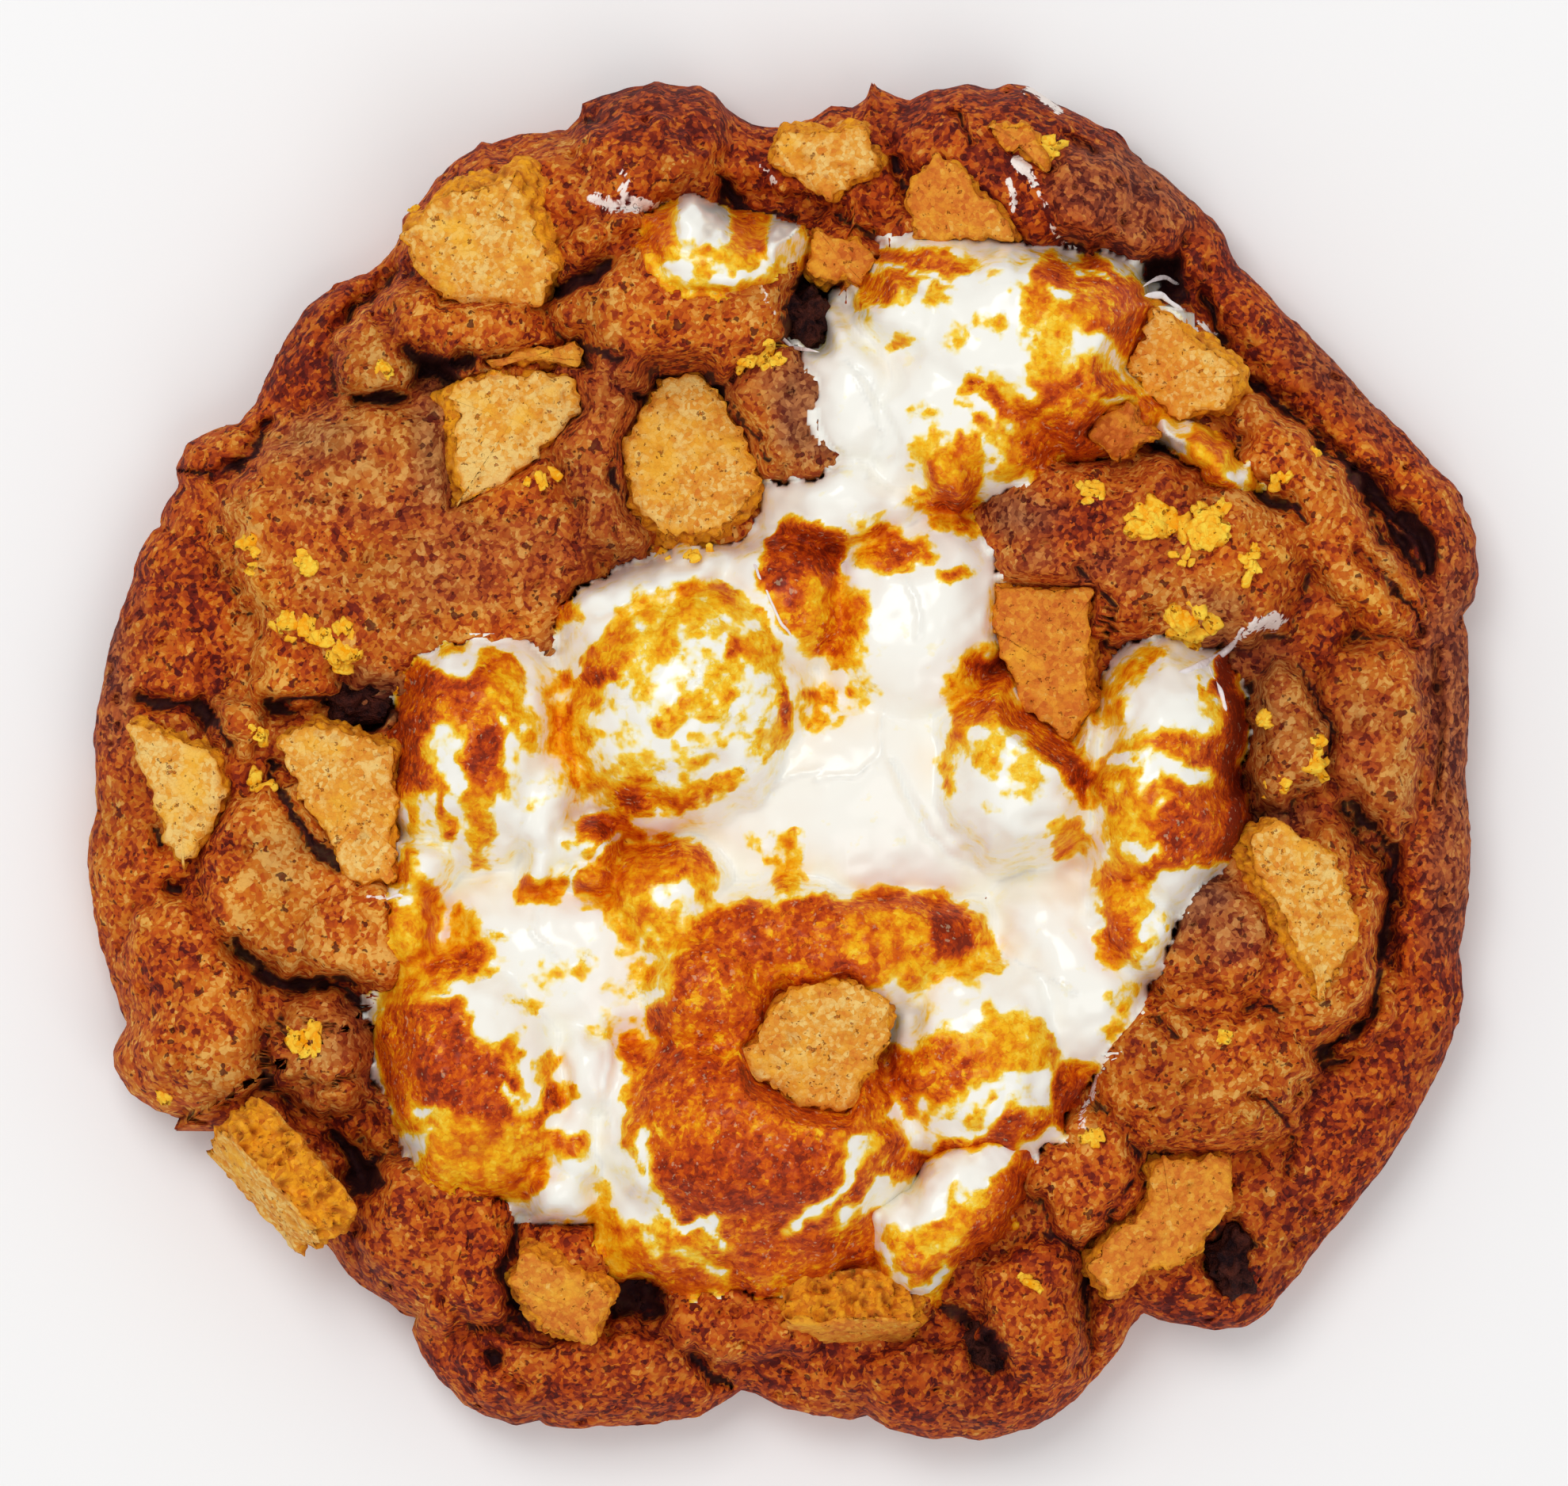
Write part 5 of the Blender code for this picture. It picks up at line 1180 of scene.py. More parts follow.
@dataclass(frozen=True)
class MeltPiece:
    """A marshmallow: a finely cut sheet over the dough, closed by a second sheet below it."""

    name: str
    node: str
    lumps: tuple[Lump, ...]
    marks: tuple[Patch | Stroke, ...]
    base: float
    mottle: float = 0.1
    cell: float = 0.25
    hem: float = 0.55

    def toast(self, x: Array, y: Array) -> Array:
        """How toasted each place is, with a painted shadow among the marks: marks over a base, mottled by
        noise.
        """
        paint_x, paint_y = ragged(x, y, 0.6, 101)
        level = painted(np.full(np.shape(x), self.base), paint_x, paint_y, self.marks, 1.2)
        mottle = 0.6 * noise(paint_x, paint_y, 1.4, 103) + 0.6 * noise(x, y, 0.6, 104)
        torn = smooth_step(level, 0.05, 0.2) * (1 + 1.2 * smooth_step(-level, -0.5, -0.3))
        return np.clip(level + self.mottle * mottle * torn, 0, 1)

    def skin(self, x: Array, y: Array, toast: Array) -> Array:
        """Fine relief: toasted skin stands up and is grainy, white is smooth with low folds."""
        rough = smooth_step(toast, 0.2, 0.5)
        grain = 0.12 * noise(x, y, 1.1, 111) + 0.1 * noise(x, y, 0.6, 112)
        smooth = 0.06 * noise(x, y, 2.4, 113) + 0.04 * noise(x, y, 1.0, 114)
        height = rough * (0.15 + grain) + (1 - rough) * smooth
        fold_x, fold_y = ragged(x, y, 0.25, 115)
        for fold in FOLDS:
            distance = route_distance(fold_x, fold_y, fold.route)
            height = height - fold.depth * np.exp(-(distance / fold.half_width) ** 2)
        return height

    def build(self) -> bpy.types.Object:
        """Builds the closed piece and paints how toasted it is, with warm shade painted on steep walls and
        pressed places.
        """
        reach = 1.5 + max(max(lump.half_length, lump.half_width) for lump in self.lumps)
        centres = np.array([(lump.x, lump.y) for lump in self.lumps])
        low, high = centres.min(axis=0) - reach, centres.max(axis=0) + reach
        x, y = np.meshgrid(np.arange(low[0], high[0], self.cell), np.arange(low[1], high[1], self.cell))
        toast = self.toast(x, y)
        height = softened(TERRAIN.melt(x, y, self.lumps, TERRAIN.tear), 1) + self.skin(x, y, toast)
        ground = DoughCrust().height(x, y)
        gap = height - ground
        torn_x, torn_y = ragged(x, y, 0.5, 121)
        wisp = gap + 4.4 * noise(torn_x, torn_y, 1.1, 123) + 2.0 * noise(torn_x, y, 0.5, 124)
        wisp = smooth_step(wisp, -3.6, -1.6) * smooth_step(gap, -3.4, -2.0)
        height = np.maximum(height, ground - 0.6 + 0.85 * wisp)
        pressed = height - under_crackers(x, y, height)
        height = height - pressed
        # Steep walls, and places pressed down by the crackers, are painted further towards cream, yellow and
        # orange: partly browned sides, partly painted warm shade over the grey those places take in shade
        steep_toast_and_shade = smooth_step(np.hypot(*np.gradient(softened(height, 1), self.cell)), 0.8, 2.6)
        toast = toast + steep_toast_and_shade * (0.08 + 0.2 * smooth_step(toast, 0.14, 0.3) * (0.8 - toast))
        toast = toast + 0.18 * smooth_step(pressed, 0.1, 1.2) * (0.8 - toast)
        kept = self.kept_cells(height > ground - self.hem)
        padded = np.pad(kept, 1)
        around = np.stack([padded[:-1, :-1], padded[1:, :-1], padded[:-1, 1:], padded[1:, 1:]])
        used, inner = around.any(axis=0), around.all(axis=0)
        height = np.where(used & ~inner, ground - self.hem, height)
        upper = np.cumsum(used.ravel()).reshape(used.shape) - 1
        below = np.where(inner, used.sum() + np.cumsum(inner.ravel()).reshape(inner.shape) - 1, upper)
        floor = np.minimum(ground - self.hem, height - 0.4) - 0.4
        points = np.concatenate([np.stack([x, y, height], axis=-1)[used],
                                 np.stack([x, y, floor], axis=-1)[inner]])
        row, column = np.nonzero(kept)
        corners = [(row, column), (row, column + 1), (row + 1, column + 1), (row + 1, column)]
        top_quads = np.stack([upper[c] for c in corners], axis=1)
        low_quads = np.stack([below[c] for c in corners], axis=1)[:, ::-1]
        fields = {"toast": np.concatenate([toast[used], toast[inner]])}
        return build_mesh(self.name, points, np.concatenate([top_quads, low_quads]), None, fields)

    def kept_cells(self, above: Array) -> Array:
        """Cells whose corners all stand above the dough, without thin scraps or corner contacts."""
        cells = above[:-1, :-1] & above[1:, :-1] & above[:-1, 1:] & above[1:, 1:]
        for grow in (False, True):
            padded = np.pad(cells, 1)
            shifted = [padded[i:i + cells.shape[0], j:j + cells.shape[1]] for i in range(3) for j in range(3)]
            cells = np.any(shifted, axis=0) if grow else np.all(shifted, axis=0)
        for _ in range(4):
            a, b, c, d = cells[:-1, :-1], cells[:-1, 1:], cells[1:, :-1], cells[1:, 1:]
            touching = (a & d & ~b & ~c) | (b & c & ~a & ~d)
            for view in (a, b, c, d):
                view |= touching
        return cells


@dataclass(frozen=True)
class CrackerPiece:
    """A broken cracker: rings of its face, torn sides in rows and rings of its underside."""

    number: int
    shape: Cracker | UprightCracker
    step: float = 0.17
    face_rings: int = 24
    side_rows: int = 15
    base_rings: int = 7

    def outline(self) -> tuple[Array, Array, Array]:
        """Points round the piece with jagged sides, their outward directions, way along the sides."""
        corners = self.shape.local_corners()
        sides = np.roll(corners, -1, axis=0) - corners
        lengths = np.hypot(*sides.T)
        total = lengths.sum()
        count = max(72, int(total / self.step))
        way = np.arange(count) / count * total
        ends = np.concatenate([[0], np.cumsum(lengths)])
        closed = np.vstack([corners, corners[:1]])
        points = np.stack([np.interp(way, ends, closed[:, 0]), np.interp(way, ends, closed[:, 1])], axis=1)
        for _ in range(3):
            points = (np.roll(points, 1, axis=0) + 2 * points + np.roll(points, -1, axis=0)) / 4
        ahead = np.roll(points, -2, axis=0) - np.roll(points, 2, axis=0)
        outwards = np.stack([ahead[:, 1], -ahead[:, 0]], axis=1) / np.hypot(*ahead.T)[:, None]
        return points, outwards, way

    def jags(self, way: Array, level: Array) -> Array:
        """How far the side juts out, by the way along it and the height in the slab."""
        seed = 200 + 10 * self.number
        jag = 0.3 * noise(way, 0 * way, 3.1, seed) + 0.28 * noise(way, 0.3 * level, 1.3, seed + 1)
        return jag + 0.32 * noise(way, level, 0.55, seed + 2)

    def build(self) -> bpy.types.Object:
        """Builds the closed slab in its place, with its side and pit fields."""
        half = self.shape.thickness / 2
        points, outwards, way = self.outline()
        seed = 200 + 10 * self.number
        towards = math.radians(self.shape.break_towards)
        facing = np.clip(outwards @ np.array((math.cos(towards), math.sin(towards))), 0, 1) ** 1.5
        slope = 0.25 + self.shape.break_width * facing
        open_grain = 1.7 if isinstance(self.shape, UprightCracker) else 1.0
        rings, side, pit = [], [], []
        shares = 1 - (1 - np.linspace(0, 1, self.face_rings + 1)[1:]) ** 1.35
        rim = points + outwards * (self.jags(way, 0 * way + half) - 0.35 * slope)[:, None]
        for share in shares:
            place = rim * share
            relief, hollow = self.face(place, seed)
            edge = (1 - share) * np.hypot(*rim.T)
            crumbled = np.clip(1 - edge / 0.5, 0, 1) ** 2
            rings.append(np.column_stack([place, half + relief - 0.22 * crumbled]))
            side.append(0.6 * crumbled)
            pit.append(hollow)
        for row in range(1, self.side_rows + 1):
            level = half - 2 * half * row / (self.side_rows + 1)
            depth = (half - level) / (2 * half)
            bulge = self.jags(way, way * 0 + level) * open_grain + slope * (depth - 0.35)
            layers = 0.16 * noise(way / 3, way * 0 + level, 0.42, seed + 4)
            distance, value = scattered(*ragged(way, way * 0 + level, 0.3, seed + 6), 0.9, seed + 5)
            pore = (value < 0.5) * np.exp(-(distance / (0.2 + 0.4 * value)) ** 2)
            place = points + outwards * (bulge + (layers - 0.42 * pore) * open_grain)[:, None]
            rings.append(np.column_stack([place, np.full(len(place), level)]))
            side.append(np.full(len(place), 1.0))
            pit.append(0.85 * pore)
        base = points + outwards * (self.jags(way, 0 * way - half) + 0.5 * slope)[:, None]
        for share in np.linspace(1, 0, self.base_rings + 1)[:-1]:
            place = base * (0.97 * share)
            low = -half + 0.1 * noise(*place.T, 1.5, seed + 8)
            rings.append(np.column_stack([place, low]))
            side.append(np.full(len(place), 0.2))
            pit.append(np.zeros(len(place)))
        middle = [(0, 0, half + float(self.face(np.zeros((1, 2)), seed)[0][0])), (0, 0, -half)]
        world = placed(np.concatenate(rings + [np.array(middle)]), self.shape.placing())
        fields = {"side": np.concatenate(side + [(0, 0.2)]), "pit": np.concatenate(pit + [(0, 0)])}
        quads, fans = tube_faces(len(rings), len(points))
        return build_mesh(f"cracker_piece_{self.number:02d}", world, quads[:, ::-1], fans[:, ::-1], fields)

    def face(self, place: Array, seed: int) -> tuple[Array, Array]:
        """Relief and pits of the baked face: low waves, blisters and small holes."""
        x, y = place[:, 0], place[:, 1]
        relief = 0.22 * noise(x, y, 2.6, seed + 3) + 0.14 * noise(x, y, 1.1, seed + 4)
        relief = (relief + 0.08 * noise(x, y, 0.5, seed + 9)) * (2.0 if self.shape.bake is Bake.BROWN else 1)
        distance, value = scattered(*ragged(x, y, 0.5, seed + 12), 1.9, seed + 5)
        hollow = (value < 0.2) * np.exp(-(distance * 1.9 / (0.15 + value)) ** 2)
        return relief - 0.35 * hollow, 0.24 * hollow


@dataclass(frozen=True)
class ChocolateChunk:
    """A block of chocolate with soft edges: place, top, sizes, turn and lean."""

    number: int
    x: float
    y: float
    top: float
    length: float
    width: float
    height: float
    turn: float
    lean: float
    lean_towards: float = 40.0
    rows: int = 25
    columns: int = 44

    def build(self) -> bpy.types.Object:
        """Builds a ball squared up to a block and torn by noise."""
        ball = squared_ball(self.rows, self.columns, 0.6)
        uneven = 1.1 + 0.3 * noise(ball[:, 0] * 2, ball[:, 1] * 2 + ball[:, 2], 0.8, 301 + self.number)
        uneven = uneven + 0.2 * noise(ball[:, 0] * 2 + ball[:, 2], ball[:, 1] * 2, 0.3, 311 + self.number)
        local = ball * uneven[:, None] * (self.length / 2, self.width / 2, self.height / 2)
        direction = math.radians(self.lean_towards)
        axis = Vector((-math.sin(direction), math.cos(direction), 0))
        placing = Matrix.Translation((self.x, self.y, self.top - self.height / 2))
        placing = placing @ Matrix.Rotation(math.radians(self.turn), 4, "Z")
        placing = placing @ Matrix.Rotation(math.radians(self.lean), 4, axis)
        faces = tube_faces(self.rows - 2, self.columns)
        return build_mesh(f"chocolate_chunk_{self.number}", placed(local, placing), *faces)


CHUNKS: tuple[ChocolateChunk, ...] = (
    ChocolateChunk(1, 1.5, 31.4, 14, 3.4, 4.2, 4, 12, 8),
    ChocolateChunk(2, 32.4, -36.2, 9.3, 3.8, 4.2, 4, 30, 10),
    ChocolateChunk(3, 14.4, -42.2, 10.6, 3.4, 4.8, 4, -30, 12),
    ChocolateChunk(4, -30.4, 4.6, 12.3, 4.4, 3.6, 4, 5, 8),
)


@dataclass(frozen=True)
class CrumbScatter:
    """Crumbs of cracker stuck to the dough, each a heap of torn chips: place, half sizes, turn."""

    crumbs: tuple[tuple[float, float, float, float, float], ...] = (
        (-34.4, 13.8, 0.7, 1.2, 20), (-34.5, 9.4, 2.8, 0.9, -10), (-31.6, 8.2, 1.1, 1.7, 0),
        (-37.7, 2.0, 0.8, 1.0, 0), (-34.2, -20.0, 1.1, 1.5, 0), (26.2, 17.2, 1.7, 1.5, 0),
        (30.3, 16.8, 1.9, 1.7, 40), (33.4, 14.3, 0.7, 1.8, 0), (28.6, 14.2, 0.7, 1.0, 30),
        (29.2, 9.5, 1.8, 1.7, 0), (21.7, 19.2, 1.1, 0.8, 0), (38.0, 0.2, 1.0, 1.3, 0),
        (35.5, -2.2, 0.8, 1.0, 0), (35.6, 20.1, 1.1, 0.5, 0), (-0.8, 29.8, 1.0, 1.8, 0),
        (-26.2, 39.4, 1.3, 0.7, 30), (-2.4, 28.6, 1.6, 0.7, 0), (-17.5, 20.2, 1.4, 0.6, 20),
        (37.8, 22.4, 0.9, 0.5, -50), (34.4, 2.9, 0.5, 0.5, 0), (-44.6, -24.2, 0.7, 0.9, 20),
        (22.4, -27.2, 1.2, 0.6, 10), (17.6, -37.4, 0.8, 1.2, 20), (-38.2, 14.6, 0.7, 1.4, 10),
        (-8.6, 14.9, 1.3, 0.5, 0), (-6.2, 14.6, 1.4, 0.5, 20), (31.6, -20.0, 0.5, 0.4, 0),
        (-28.6, 28.0, 0.6, 0.5, 30), (19.4, 43.9, 0.9, 0.8, 0), (-37.6, -1.4, 0.8, 1.0, 0),
    )
    rows: int = 10
    columns: int = 20

    def build(self) -> bpy.types.Object:
        """Builds every chip as a squashed ball with its radius torn by noise, tipped at random."""
        draw = np.random.default_rng(4)
        ball = squared_ball(self.rows, self.columns, 0.55)
        quads, fans = tube_faces(self.rows - 2, self.columns)
        points, all_quads, all_fans = [], [], []
        for x, y, half_length, half_width, turn in self.crumbs:
            count = max(4, int(7 * half_length * half_width))
            chip = 0.28 + 0.26 * min(half_length, half_width)
            for _ in range(count):
                angle, reach = draw.uniform(0, 2 * math.pi), math.sqrt(draw.uniform(0, 0.8))
                along, across = half_length * reach * math.cos(angle), half_width * reach * math.sin(angle)
                way = math.radians(turn)
                place_x = x + along * math.cos(way) - across * math.sin(way)
                place_y = y + along * math.sin(way) + across * math.cos(way)
                away = 9 * len(points)
                swell = 1 + 0.32 * noise(ball[:, 0] + away, ball[:, 1] + 0.6 * ball[:, 2], 0.8, 401)
                swell = swell + 0.22 * noise(ball[:, 0] + 0.6 * ball[:, 2], ball[:, 1] + away, 0.4, 402)
                size = chip * draw.uniform(0.45, 1.25)
                local = ball * swell[:, None] * (size * 1.2, size * draw.uniform(0.6, 1), size * 0.42)
                tip = Matrix.Rotation(draw.uniform(0, 2 * math.pi), 3, "Z")
                tip = tip @ Matrix.Rotation(draw.uniform(-0.7, 0.7), 3, "X")
                ground = float(TERRAIN.surface(np.array([place_x]), np.array([place_y]))[0])
                all_quads.append(quads + len(ball) * len(points))
                all_fans.append(fans + len(ball) * len(points))
                lift = 0.7 * (1 - reach) * draw.uniform(0.3, 1)
                points.append(local @ np.array(tip).T + (place_x, place_y, ground + lift))
        return build_mesh("cracker_crumbs", np.concatenate(points), np.concatenate(all_quads),
                          np.concatenate(all_fans))


@dataclass(frozen=True)
class Thread:
    """A thread or film of melted marshmallow: half width, lift over the surface and route."""

    half_width: float
    lift: float
    route: tuple[Point, ...]


@dataclass(frozen=True)
class MeltThreads:
    """White threads pulled off the marshmallow, each an oval profile carried along its route."""

    threads: tuple[Thread, ...] = (
        Thread(0.2, 0.6, ((27.4, 5.6), (29, 6.4), (31, 7.3), (32.2, 8.3), (33, 9.5), (34.2, 10.2),
                          (35.2, 9.7))),
        Thread(0.16, 0.2, ((30.4, 6.8), (31.2, 5.2), (31.8, 3.4))),
        Thread(0.2, 0.3, ((25.8, 34.0), (26.6, 34.7), (27.6, 34.6), (28.6, 34.2))),
        Thread(0.22, 0.2, ((26.0, 33.2), (27.0, 33.4), (27.8, 33.0), (28.4, 32.2), (29.6, 31.6))),
        Thread(0.12, 0.5, ((28.4, 31.8), (29.8, 30.6), (31.2, 29.8))),
        Thread(0.11, 0.5, ((-0.4, 31.6), (-0.2, 30.2), (0.6, 29.6), (2.6, 29.4))),
        Thread(0.08, 0.25, ((-2.6, 14.8), (-1.4, 12.8), (-0.2, 10.0), (0.6, 8.6))),
        Thread(0.08, 0.3, ((-29.0, -10.2), (-27.8, -9.6), (-26.4, -9.8))),
    )
    step: float = 0.22
    sides: int = 10

    def build(self) -> bpy.types.Object:
        """Builds all threads: the route read smoothly, an oval round it, its ends drawn to points."""
        points, quads, fans = [], [], []
        offset = 0
        for number, thread in enumerate(self.threads):
            route = np.array(thread.route)
            ends = np.concatenate([[0], np.cumsum(np.hypot(*np.diff(route, axis=0).T))])
            way = np.linspace(0, ends[-1], max(8, int(ends[-1] / self.step)))
            x, y = np.interp(way, ends, route[:, 0]), np.interp(way, ends, route[:, 1])
            for _ in range(4):
                x[1:-1] = (x[:-2] + 2 * x[1:-1] + x[2:]) / 4
                y[1:-1] = (y[:-2] + 2 * y[1:-1] + y[2:]) / 4
            x = x + 0.14 * noise(way, 0 * way, 0.9, 501 + number)
            y = y + 0.14 * noise(way, 0 * way, 0.9, 551 + number)
            ground = np.maximum(TERRAIN.surface(x, y), 0)
            for _ in range(6):
                mean = (ground[:-2] + 2 * ground[1:-1] + ground[2:]) / 4
                ground[1:-1] = np.maximum(mean, ground[1:-1] - 0.1)
            z = ground + thread.lift * np.sin(np.pi * way / way[-1]) ** 0.5 - 0.1
            across = np.stack([-np.gradient(y), np.gradient(x)], axis=1)
            across = across / np.hypot(*across.T)[:, None].clip(1e-6)
            taper = np.sqrt(np.clip(1 - (2 * way / way[-1] - 1) ** 6, 0, 1)) + 0.02
            width = thread.half_width * taper * (1 + 0.7 * noise(way, 0 * way, 0.7, 601 + number))
            angle = np.linspace(0, 2 * math.pi, self.sides, endpoint=False)
            out, rise = np.cos(angle), np.sin(angle)
            ring_x = x[:, None] + across[:, :1] * out * width[:, None]
            ring_y = y[:, None] + across[:, 1:] * out * width[:, None]
            ring_z = z[:, None] + rise * np.minimum(width, 0.3)[:, None] * 0.8
            body = np.stack([ring_x, ring_y, ring_z], axis=-1).reshape(-1, 3)
            tips = np.array([(x[0], y[0], z[0]), (x[-1], y[-1], z[-1])])
            for kept, faces in zip((quads, fans), tube_faces(len(way), self.sides)):
                kept.append(faces + offset)
            points.append(np.concatenate([body, tips]))
            offset += len(body) + 2
        return build_mesh("melt_threads", np.concatenate(points), np.concatenate(quads), np.concatenate(fans))


